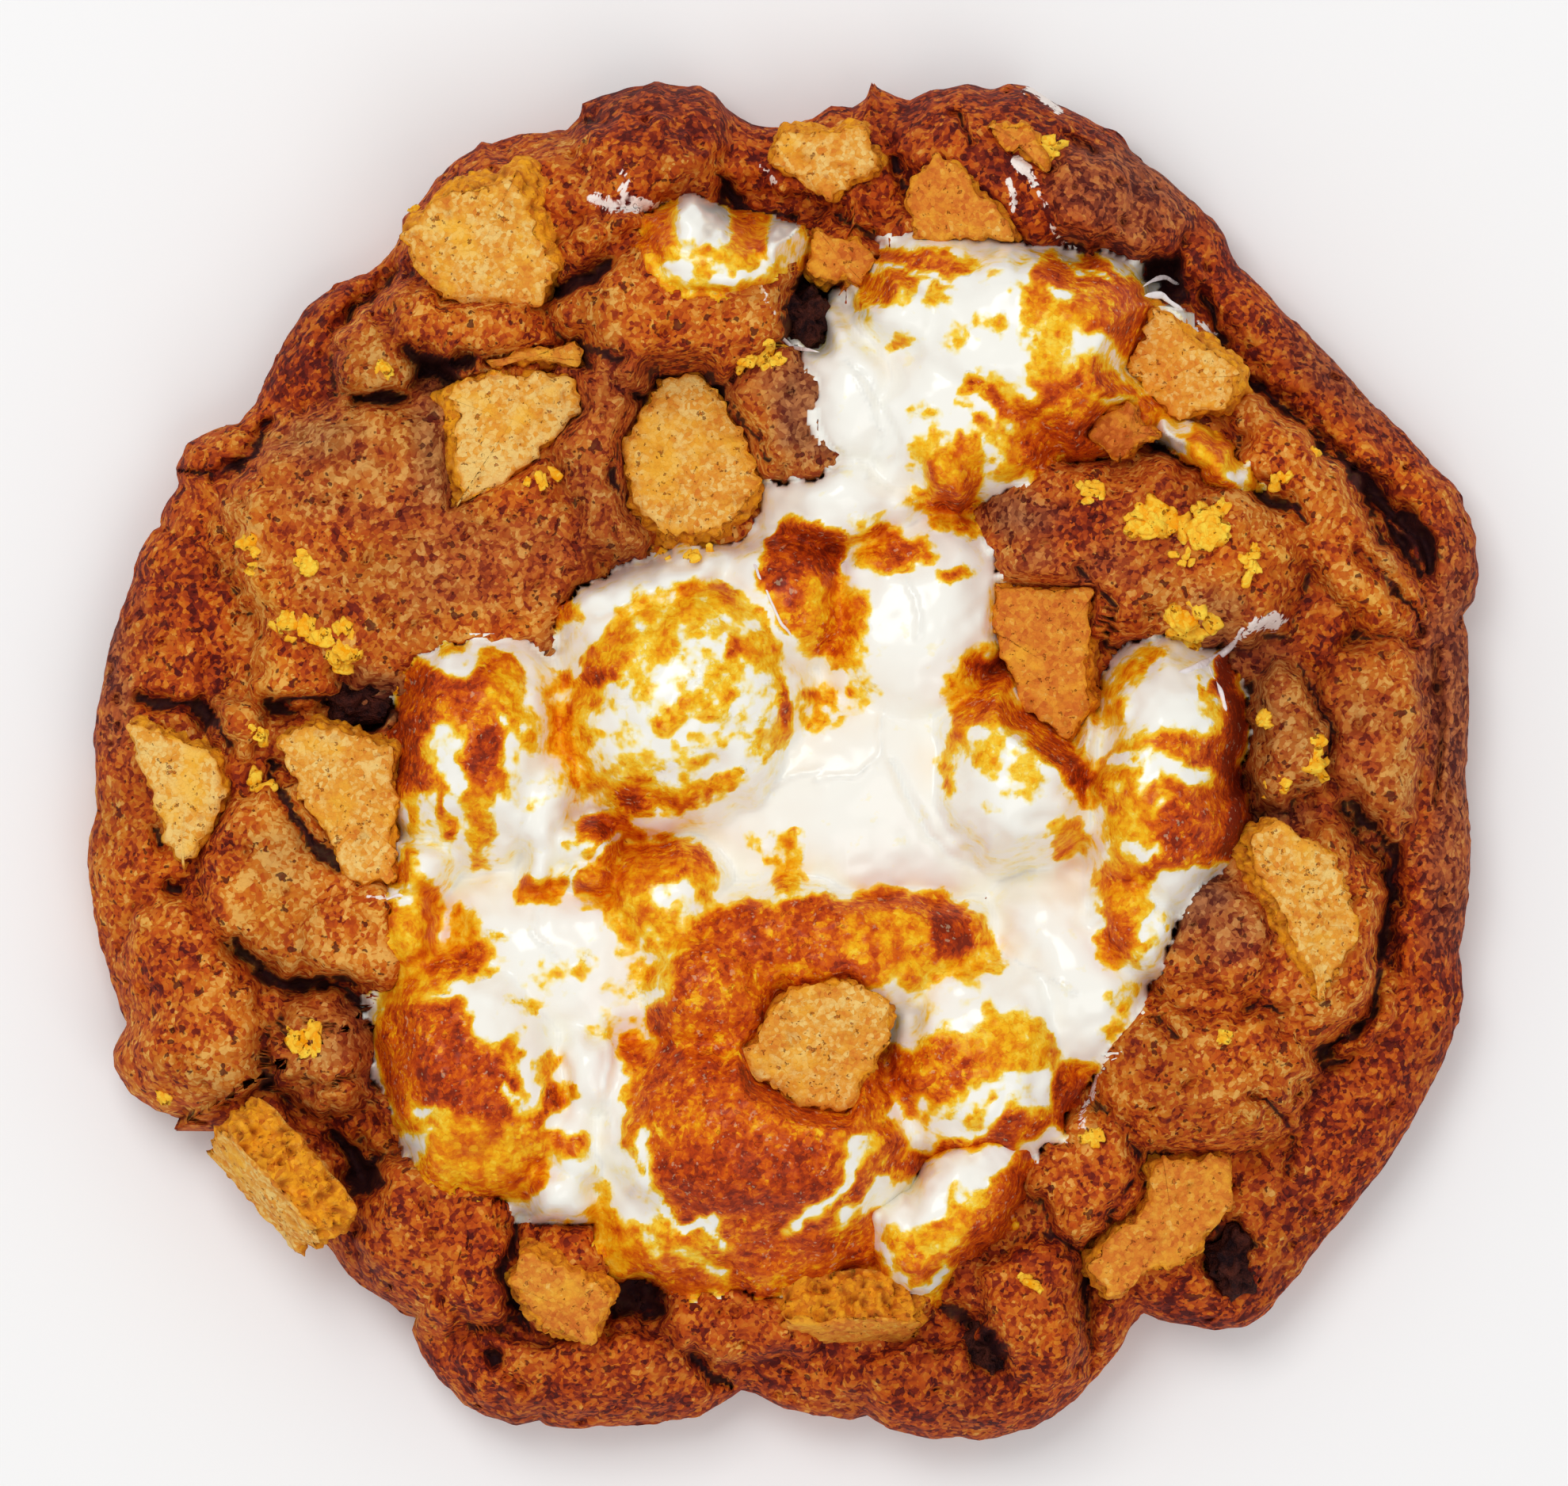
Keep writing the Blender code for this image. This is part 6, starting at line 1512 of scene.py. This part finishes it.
# How toasted the marshmallows are, with one painted shadow: 0 white, 0.3 yellow, 0.5 amber, 0.8 rust
MELT_MARKS: tuple[Patch | Stroke, ...] = marks(
    # Left puff
    (-23, 3.2, 5.4, 5.4, 0.6), (-17.8, -0.4, 2.4, 3.6, 0.24),
    (0.9, 0.76, ((-26.5, 6.2), (-24.5, 5.8), (-22.3, 5.4))), (-26.9, 0.4, 1.5, 3.4, 0.76),
    (-21.6, 0.8, 1.2, 1.3, 0.92), (-19.6, 4.6, 1.4, 2.4, 0.5), (-24.2, 1.6, 1.5, 1.4, 0.12, -20),
    (-23.3, -0.8, 0.8, 1.3, 0.14, 30), (-20.2, 3.1, 0.4, 0.4, 0.02), (-26.7, -5.4, 1.1, 3.2, 0.31),
    (-24.8, -5.6, 1.1, 2.8, 0.12), (0.3, 0.6, ((-24.4, -2.2), (-24.1, -3.6), (-23.6, -4.9))),
    (0.85, 0.52, ((-22, -2.2), (-21.8, -4.4), (-21.2, -5.8))), (-21.4, -7.6, 0.8, 0.9, 0.36),
    (0.65, 0.04, ((-27.2, 9.4), (-26.4, 8.3), (-24.6, 7.9), (-23.3, 6.8), (-21.6, 8.2), (-19.2, 8.6),
                  (-17.9, 7.6), (-16.8, 6.2), (-16.3, 8.2), (-15.4, 10))),
    (0.9, 0.1, ((-17, 5.6), (-16.6, 2.6), (-17.2, -1))), (-16, 5, 0.7, 1.4, 0.38),
    (-15.8, 1.4, 0.6, 1.2, 0.36), (0.6, 0.46, ((-15.2, 3.4), (-14.9, 1), (-14.8, -1.8))),
    # Centre-left puff and the white arch over it
    (-7.4, 4.9, 7, 7.8, 0.34, -10),
    (2.3, 0.39, ((-12.6, 5), (-11.6, 8.2), (-8.4, 10.4), (-5, 11), (-2.6, 9.8))),
    (-12.2, 8, 1.5, 1.8, 0.47, -20), (-12.8, 6.3, 1, 0.8, 0.88), (-4.6, 9.8, 2.4, 2, 0.4),
    (-9.6, 2.6, 3.4, 3.4, 0.17), (-5.6, 0.4, 3.8, 2.7, 0.16), (-5.4, 8.6, 1.3, 0.8, 0.1, -20),
    (-8.3, 8.9, 0.5, 0.4, 0.03), (-2.6, 3, 1.6, 3.4, 0.18), (-6.6, 4, 1, 1.1, 0.38),
    (-7.4, 2.4, 0.9, 0.8, 0.36), (-4.2, 4.8, 0.8, 1, 0.36),
    (0.9, 0.32, ((-2.6, 10.2), (-1.4, 7.6), (-1, 4.4), (-1.4, 1.4))), (-7.6, 9, 3, 1.5, 0.4, 20),
    (-4.4, 6.4, 0.8, 0.6, 0.34), (-10.4, 5.6, 0.8, 0.6, 0.35), (-6.2, -1.6, 1, 0.5, 0.34),
    (-3.7, 8.3, 0.6, 0.6, 0.84), (-0.4, 4, 0.35, 1.3, 0.7),
    (0.5, 0.4, ((-14, -0.4), (-12.6, -2.2), (-10.4, -3.2), (-7.6, -2.9), (-5, -2), (-3.4, -1))),
    (-11.2, -2.8, 1.4, 0.8, 0.82), (-14.1, 1.6, 0.5, 2, 0.4),
    (1.2, 0.03, ((-14.2, 10.4), (-11.6, 12.9), (-8.6, 14.4), (-5.4, 14.6), (-2.6, 13.4))),
    (-17, 11.8, 1.5, 2.2, 0.78, 30), (0.35, 0.03, ((-1.8, 12.4), (0, 9.2), (0.8, 6.4))),
    # Islands in the flow under the puffs
    (-13.4, -4.9, 1.8, 0.9, 0.82, 10), (-17.2, -9.3, 1.7, 1.3, 0.46, 20), (-12.8, -7.9, 3, 1.7, 0.5, 48),
    (0.25, 0.02, ((-15.6, -10.2), (-15.2, -8.4), (-13.4, -6.8), (-12, -5.6))),
    (-8.4, -8.8, 3.8, 3.4, 0.5, -30), (-9.8, -11.6, 3, 2.2, 0.48), (-6.6, -7.4, 1.8, 0.8, 0.56, -20),
    (-7.6, -9.4, 1.3, 0.8, 0.12, 20), (-5.8, -11.4, 1.6, 1, 0.14, -20), (-9.4, -13.7, 1.2, 0.7, 0.3),
    # Front skin and dome
    (-3.4, -13.4, 4, 2.9, 0.66), (2.4, -12.9, 5.4, 3.3, 0.72, -5), (9.8, -12.7, 5.8, 3.2, 0.56, -10),
    (12.2, -12.4, 1.3, 1.4, 0.92), (9, -15.4, 1.6, 0.9, 0.32),
    (0.9, 0.42, ((10.4, -15.4), (13.4, -15.4), (15.2, -13.6))), (-5, -17.4, 4.8, 4.4, 0.68),
    (0.4, -17.6, 3.4, 3, 0.64), (-2.4, -26.6, 9, 8.4, 0.67), (-2.4, -30.4, 5.8, 3.2, 0.8),
    (1.3, 0.58, ((-11, -20.4), (-11.3, -24), (-10.8, -27.4))), (6.2, -25, 3.4, 3.8, 0.6, 20),
    (2.1, 0.6, ((-9.6, -34.2), (-4, -36.4), (2, -36.8), (7.2, -34.8))), (1, -35.4, 4, 1, 0.72, 5),
    (-9.2, -37.2, 3.6, 1.8, 0.52, -12), (-12.6, -33.6, 3.8, 4.6, 0.47, -30), (-13.4, -30.6, 1.7, 1.8, 0.5),
    (0.6, 0.3, ((-9.8, -32.6), (-8.6, -35), (-5, -36.6))),
    (1.3, 0.05, ((-13.4, -19), (-12.8, -23), (-13.2, -26.6), (-12.6, -29.2), (-10.8, -31.8))),
    (0.4, 0.04, ((-10.2, -26.8), (-10.4, -28.4), (-9.6, -30.4), (-9.2, -31.8))),
    (0.32, 0.06, ((-9.2, -32), (-7.2, -33.4), (-5.2, -33.2), (-4.2, -34.4))),
    (0.5, 0.04, ((5.6, -27.2), (4.7, -29), (4, -30.6), (2.6, -32.3), (0.8, -33.7))),
    # Yellow spots beside the pool
    (0.6, -7.3, 1.4, 2, 0.36), (2.8, 4.2, 1.9, 1.4, 0.33, -10), (5.8, 4.6, 0.9, 1.1, 0.32),
    (5.2, 7.2, 1, 1.4, 0.33), (-1.6, -6.4, 1.4, 0.5, 0.26, -30),
    # Lower-left: cream field, yellow edge and toasted arm
    (-27.2, -12.6, 2.6, 4.6, 0.5), (0.35, 0.04, ((-33, -10.4), (-30.6, -9.8), (-28, -10.2), (-26.6, -9))),
    (1, 0.44, ((-26.3, -9.2), (-26, -12), (-25.2, -15.4))), (-23.1, -12.1, 1.1, 1.5, 0.38),
    (-23, -14.6, 2.6, 1.2, 0.64, 14), (-20.4, -13, 1.2, 0.5, 0.34, -20), (-15, -14.4, 0.9, 0.6, 0.24),
    (-9.6, -15.8, 1, 0.6, 0.28), (-12, -19, 1.6, 1.2, 0.2), (-10.2, -15.2, 2.4, 2.8, 0.24),
    (-16.4, -15.6, 2.6, 1.4, 0.19), (-18.4, -17.6, 1.4, 0.8, 0.22, 20),
    # Lower-left puff
    (-25.2, -21, 3.1, 3.8, 0.68, 8), (-22.9, -23, 3.9, 3.1, 0.8, -12), (-27.4, -22.4, 1.3, 4.4, 0.56, 6),
    (-21.4, -28.6, 4.8, 3.2, 0.48, 10),
    (0.25, 0.12, ((-19.8, -23.6), (-18.6, -24.6), (-17.8, -25.4), (-19, -26))),
    (0.6, 0.72, ((-18, -25.2), (-16.8, -24.2), (-15.8, -24))), (-17.2, -27.4, 1.4, 1.2, 0.58),
    (-15.2, -27.6, 1.2, 0.9, 0.62, 20), (-19.4, -20.9, 0.6, 1, 0.42, -20), (-17, -22, 0.5, 0.8, 0.52),
    (-15.6, -31, 1.9, 2.6, 0.04),
    # Right-lower flow
    (11.8, -18.2, 3.4, 2.4, 0.1), (16.2, -20.2, 3.2, 2.6, 0.5), (10.6, -22.4, 3.4, 2.3, 0.68),
    (13.6, -26, 4.2, 2.2, 0.18, 20), (12.4, -20, 1.2, 0.7, 0.42),
    (0.6, 0.04, ((7.6, -24.8), (8.6, -26.2), (10.2, -27.6))), (11.9, -26.1, 0.7, 0.7, 0),
    (20.8, -24.2, 1.9, 2.4, 0.76), (0.9, 0.05, ((15.4, -11.4), (17.4, -14), (20.2, -17.4), (20.4, -20.4))),
    (0.9, 0.72, ((8, -29.4), (11, -28.6), (14.6, -27.4), (18, -25.8))),
    # Upper-right puff
    (22.2, 29.6, 4.3, 7.4, 0.46, 28), (22.8, 33, 3.4, 2.2, 0.6, -25), (22.6, 35.4, 1.2, 0.8, 0.68, -30),
    (19.3, 35.1, 0.8, 0.9, 0.68), (23, 26.4, 4, 1.4, 0.62, -10), (19.4, 28.8, 1.4, 3, 0.45),
    (25.2, 31.4, 1.5, 2.4, 0.6, 20), (20, 25.6, 2, 1.6, 0.64), (10.2, 35.7, 3.9, 1, 0.62, -8),
    (7.2, 33.8, 1.8, 1.6, 0.46, 30), (10.9, 34.1, 0.8, 0.35, 0.5), (11, 33, 1, 0.7, 0.38, -20),
    (0.3, 0.05, ((6.6, 35.6), (9, 35.1), (12, 34.6), (14, 34.2))), (8.1, 30.1, 1.4, 0.4, 0.37, 5),
    (15, 31.4, 0.7, 0.8, 0.44), (13.9, 31, 0.35, 1, 0.33), (9.8, 25.1, 0.9, 0.7, 0.33, -30),
    (12.6, 30.2, 0.8, 1, 0.24), (16.7, 33, 0.35, 1, 0.4, 10), (19.4, 33.1, 1.5, 0.6, 0.44, -10),
    (0.9, 0.68, ((13.6, 26.8), (15.6, 25.9), (17.6, 24.8))),
    (0.45, 0.4, ((12.2, 25.6), (13.4, 24.4), (14.6, 23.4))), (15.9, 22.4, 1.1, 1.4, 0.47, 20),
    (17.8, 24.4, 0.8, 1.2, 0.66, 20), (15.1, 24.1, 0.9, 0.5, 0.38, -20), (16.2, 20.8, 1.2, 1, 0.36),
    (16.4, 27, 1.4, 0.7, 0.12, -30), (19, 24.3, 0.9, 0.6, 0.04, 20), (17.2, 21.8, 0.8, 0.6, 0.06, 30),
    (0.7, 0.04, ((21.2, 29.9), (22.8, 29.4), (24.2, 28))),
    (0.3, 0.05, ((24.4, 27.8), (25.4, 26.8), (27.2, 25.6), (28.8, 24.4))), (17.4, 30.6, 0.3, 1.4, 0.3),
    (0.25, 0.06, ((20.2, 36.2), (21.4, 35), (23.4, 34.4))),
    (0.3, 0.06, ((23.8, 35.6), (24.6, 34.8), (25.8, 34.2))), (23.8, 26, 1.1, 0.4, 0.1, 20),
    (19.4, 33.8, 1.2, 0.3, 0.08, -10), (20.6, 36.6, 1, 0.5, 0.05, -20),
    # Nub and the toast right of it
    (20.6, 22.4, 4, 2.2, 0.68), (11.6, 21.4, 2.6, 2.2, 0.36), (12.2, 20.6, 1.9, 2.1, 0.54),
    (12.4, 21.4, 0.8, 0.8, 0.5), (12, 18.3, 2.4, 0.8, 0.82), (15, 21.6, 0.5, 2.2, 0.2),
    # White band, its toasted lower side and the stained place by the arch
    (7.4, 15.2, 2.6, 1.5, 0.56), (8.4, 15.2, 1.4, 0.9, 0.7), (12.4, 16.6, 1.5, 0.9, 0.5),
    (1, 14.2, 2.9, 2.9, 0.84, -20), (3.4, 10.2, 2.6, 3, 0.52, -10), (3.6, 9.6, 1.1, 1.3, 0.68),
    (12.2, 13.3, 1.1, 0.35, 0.72, -10), (0.9, 11.4, 1.2, 1.4, 0.7),
    (0.5, 0.04, ((-1.4, 16.8), (0, 18.4), (-0.8, 19.6))), (6.2, 17.4, 1.6, 0.5, 0.22, 10),
    # Centre-right puff
    (14.8, 6.4, 1.7, 1.2, 0.9, -20), (14.2, 4.6, 2.6, 1.5, 0.5, -30),
    (0.8, 0.46, ((13.2, 3.2), (12, 1.2), (11.6, -1.8))),
    (1.2, 0.57, ((14.2, 3.8), (17, 2.9), (19.4, 1.2), (21, -0.8))), (21, -1.6, 0.8, 1.1, 0.82),
    (14.8, 0.4, 1.4, 1.7, 0.36), (17.6, -0.6, 0.9, 1.8, 0.3, 20), (15.8, -2.8, 1.5, 0.8, 0.25, 30),
    (20.6, -5.4, 1.3, 1.3, 0.42), (21.6, -3, 0.4, 0.9, 0.36), (12.6, -0.2, 0.8, 1.6, 0.2),
    # Right puff and its leg
    (28.2, -2.6, 5, 5.8, 0.56), (29.6, -4.6, 2.9, 3.2, 0.68), (24.4, -2.6, 1.9, 5.2, 0.46, 5),
    (1.2, 0.34, ((22.6, 3.2), (24.2, 5.6), (26.2, 7.2))), (26.8, 3.8, 2.7, 2.4, 0.05, -40),
    (0.9, 0.07, ((22.4, 0.8), (24.6, 2.9))), (28.2, 1.2, 2.6, 1.2, 0.68, -10),
    (0.5, 0.38, ((29.8, 5.8), (31, 3.4), (32, 1.2))),
    (0.55, 0.05, ((26.8, -0.4), (28.6, -1), (30.6, -0.8))),
    (0.4, 0.08, ((24.2, -0.2), (25.6, 0.4), (26.2, -1.4))), (27.2, -3, 0.8, 0.6, 0.2, 30),
    (0.35, 0.05, ((24.4, -5.8), (25.8, -6.4), (26.8, -6.2))), (24.8, -10.6, 2.1, 4, 0.52, 10),
    (24, -12.4, 1.3, 1.8, 0.62), (0.4, 0.05, ((27.4, -7.8), (28.2, -8.8), (26.8, -10.4), (26, -12.4))),
    # Painted shadow: a dark brown band down the right side of the right puff, where its wall is in shade
    (0.8, 0.97, ((31.8, 7), (32.4, 4.6), (32.6, 1.2), (32.6, -3.4), (32.2, -6.4))),
    (24.4, -17.4, 0.9, 1.6, 0.3, 10), (23.4, -20, 0.9, 1.1, 0.34),
)
FRONT_MARKS: tuple[Patch | Stroke, ...] = marks(
    (13.6, -30.8, 6, 3.4, 0.54, 55), (15.2, -31.2, 5, 2.2, 0.64, 55), (10.8, -33.4, 2.4, 2.2, 0.45),
    (8.8, -35.6, 1.4, 1.6, 0.6), (9.4, -31.4, 2.6, 1.8, 0.04, 20), (13, -31, 0.9, 1.2, 0.3, 10),
    (1.1, 0.04, ((5.8, -34), (8, -31), (10.8, -29.8), (13.4, -29.2))),
    (0.8, 0.04, ((13.2, -29.4), (16, -27.8), (18.4, -26.2))),
    (0.6, 0.03, ((6.8, -35), (7.8, -36.8), (9.4, -38), (11.2, -37.8), (12.2, -36.4))),
)
BACK_MARKS: tuple[Patch | Stroke, ...] = marks(
    (-5, 37, 5.8, 4.2, 0.38, -8), (-9.4, 35.6, 1.8, 2.6, 0.5), (-2.8, 37.6, 1.2, 2, 0.46),
    (-5.8, 38.8, 1.8, 1.9, 0), (0.1, 37.1, 1.6, 1.6, 0), (-7.9, 35.1, 0.8, 0.4, 0.05, 20),
    (0.35, 0.05, ((-4.8, 34.3), (-3, 34.2), (-1.4, 34.8), (-0.2, 35.6))), (2.6, 35.2, 0.9, 1.6, 0.5),
)
SLIVER_MARKS: tuple[Patch | Stroke, ...] = marks(
    (28.2, 22.6, 1.8, 1, 0.04, -20), (28.8, 24.2, 0.9, 0.8, 0.04), (31.4, 21.4, 1, 1.6, 0.4, -30),
    (32.6, 19.8, 1, 0.7, 0.06, -40), (30, 22.4, 0.8, 1.2, 0.34, -30), (29.4, 20.8, 2, 0.6, 0.56, -20),
    (0.5, 0.6, ((30.6, 20.4), (32.4, 18.8), (34, 17.8))),
)
MARSHMALLOWS: tuple[MeltPiece, ...] = (
    MeltPiece("marshmallow_melt", "marshmallow", MELT_LUMPS, MELT_MARKS, 0.05, 0.13),
    MeltPiece("marshmallow_front_puff", "marshmallow_front", FRONT_LUMPS, FRONT_MARKS, 0.5, 0.12, 0.16),
    MeltPiece("marshmallow_back_puff", "marshmallow_back", BACK_LUMPS, BACK_MARKS, 0.44, 0.12, 0.16),
    MeltPiece("marshmallow_sliver_strip", "marshmallow_sliver", SLIVER_LUMPS, SLIVER_MARKS, 0.34, 0.12, 0.14),
)


@dataclass(frozen=True)
class Studio:
    """Pale floor, soft light and a camera that looks straight down."""

    eye: tuple[float, float, float] = (0.00003, 0.00125, 3.0)
    lens: float = 955.3
    floor_size: float = 3.0
    floor_drop: float = 0.0002
    floor_colour: Colour = (0.97, 0.97, 0.97, 1.0)
    room_colour: Colour = (1.0, 1.0, 1.0, 1.0)
    room_strength: float = 0.58

    def build(self) -> None:
        """Makes the floor, the world, the lamps and the camera."""
        half = self.floor_size / 2
        mesh = bpy.data.meshes.new("floor")
        mesh.from_pydata([(-half, -half, 0), (half, -half, 0), (half, half, 0), (-half, half, 0)], [],
                         [(0, 1, 2, 3)])
        floor = bpy.data.objects.new("floor", mesh)
        floor.location.z = -self.floor_drop
        bpy.context.scene.collection.objects.link(floor)
        floor.data.materials.append(Graph("pale_floor").finish(self.floor_colour, 0.8))
        world = bpy.data.worlds.new("soft_room")
        world.use_nodes = True
        background = world.node_tree.nodes["Background"]
        background.inputs["Color"].default_value = self.room_colour
        background.inputs["Strength"].default_value = self.room_strength
        bpy.context.scene.world = world
        self.lamp("window", (-0.16, 0.26, 0.75), 0.35, 2.0)
        self.lamp("fill", (0.2, -0.36, 0.8), 0.5, 1.2)
        camera = bpy.data.objects.new("camera", bpy.data.cameras.new("camera"))
        camera.data.lens = self.lens
        camera.data.sensor_width = 36.0
        camera.location = self.eye
        camera.data.clip_start = 0.01
        bpy.context.scene.collection.objects.link(camera)
        bpy.context.scene.camera = camera
        bpy.context.scene.view_settings.view_transform = "Standard"

    def lamp(self, name: str, place: tuple[float, float, float], size: float, power: float) -> None:
        """A square soft lamp that faces the cookie."""
        light = bpy.data.lights.new(name, "AREA")
        light.size = size
        light.energy = power
        lamp = bpy.data.objects.new(name, light)
        lamp.location = place
        lamp.rotation_euler = (-Vector(place)).to_track_quat("-Z", "Y").to_euler()
        bpy.context.scene.collection.objects.link(lamp)


def main() -> None:
    """Builds the scene piece by piece and reports each one."""
    logging.basicConfig(level=logging.INFO, format="%(name)s: %(message)s")
    Studio().build()
    settle_piece(DoughCrust().build(), BakedCrumb().material(), "dough", "dough")
    melt = ToastedMelt().material()
    for marshmallow in MARSHMALLOWS:
        settle_piece(marshmallow.build(), melt, "marshmallow", marshmallow.node)
    wafers = {bake: Wafer(bake).material() for bake in Bake}
    for number, shape in enumerate(CRACKERS + UPRIGHT_CRACKERS, 1):
        piece = CrackerPiece(number, shape).build()
        settle_piece(piece, wafers[shape.bake], "cracker", f"cracker_{number:02d}")
    chocolate = DarkChocolate().material()
    for chunk in CHUNKS:
        settle_piece(chunk.build(), chocolate, "chocolate", f"chocolate_{chunk.number}")
    settle_piece(CrumbScatter().build(), CrackerCrumb().material(), "cracker")
    settle_piece(MeltThreads().build(), MeltThread().material(), "marshmallow")


if __name__ == "__main__":
    main()
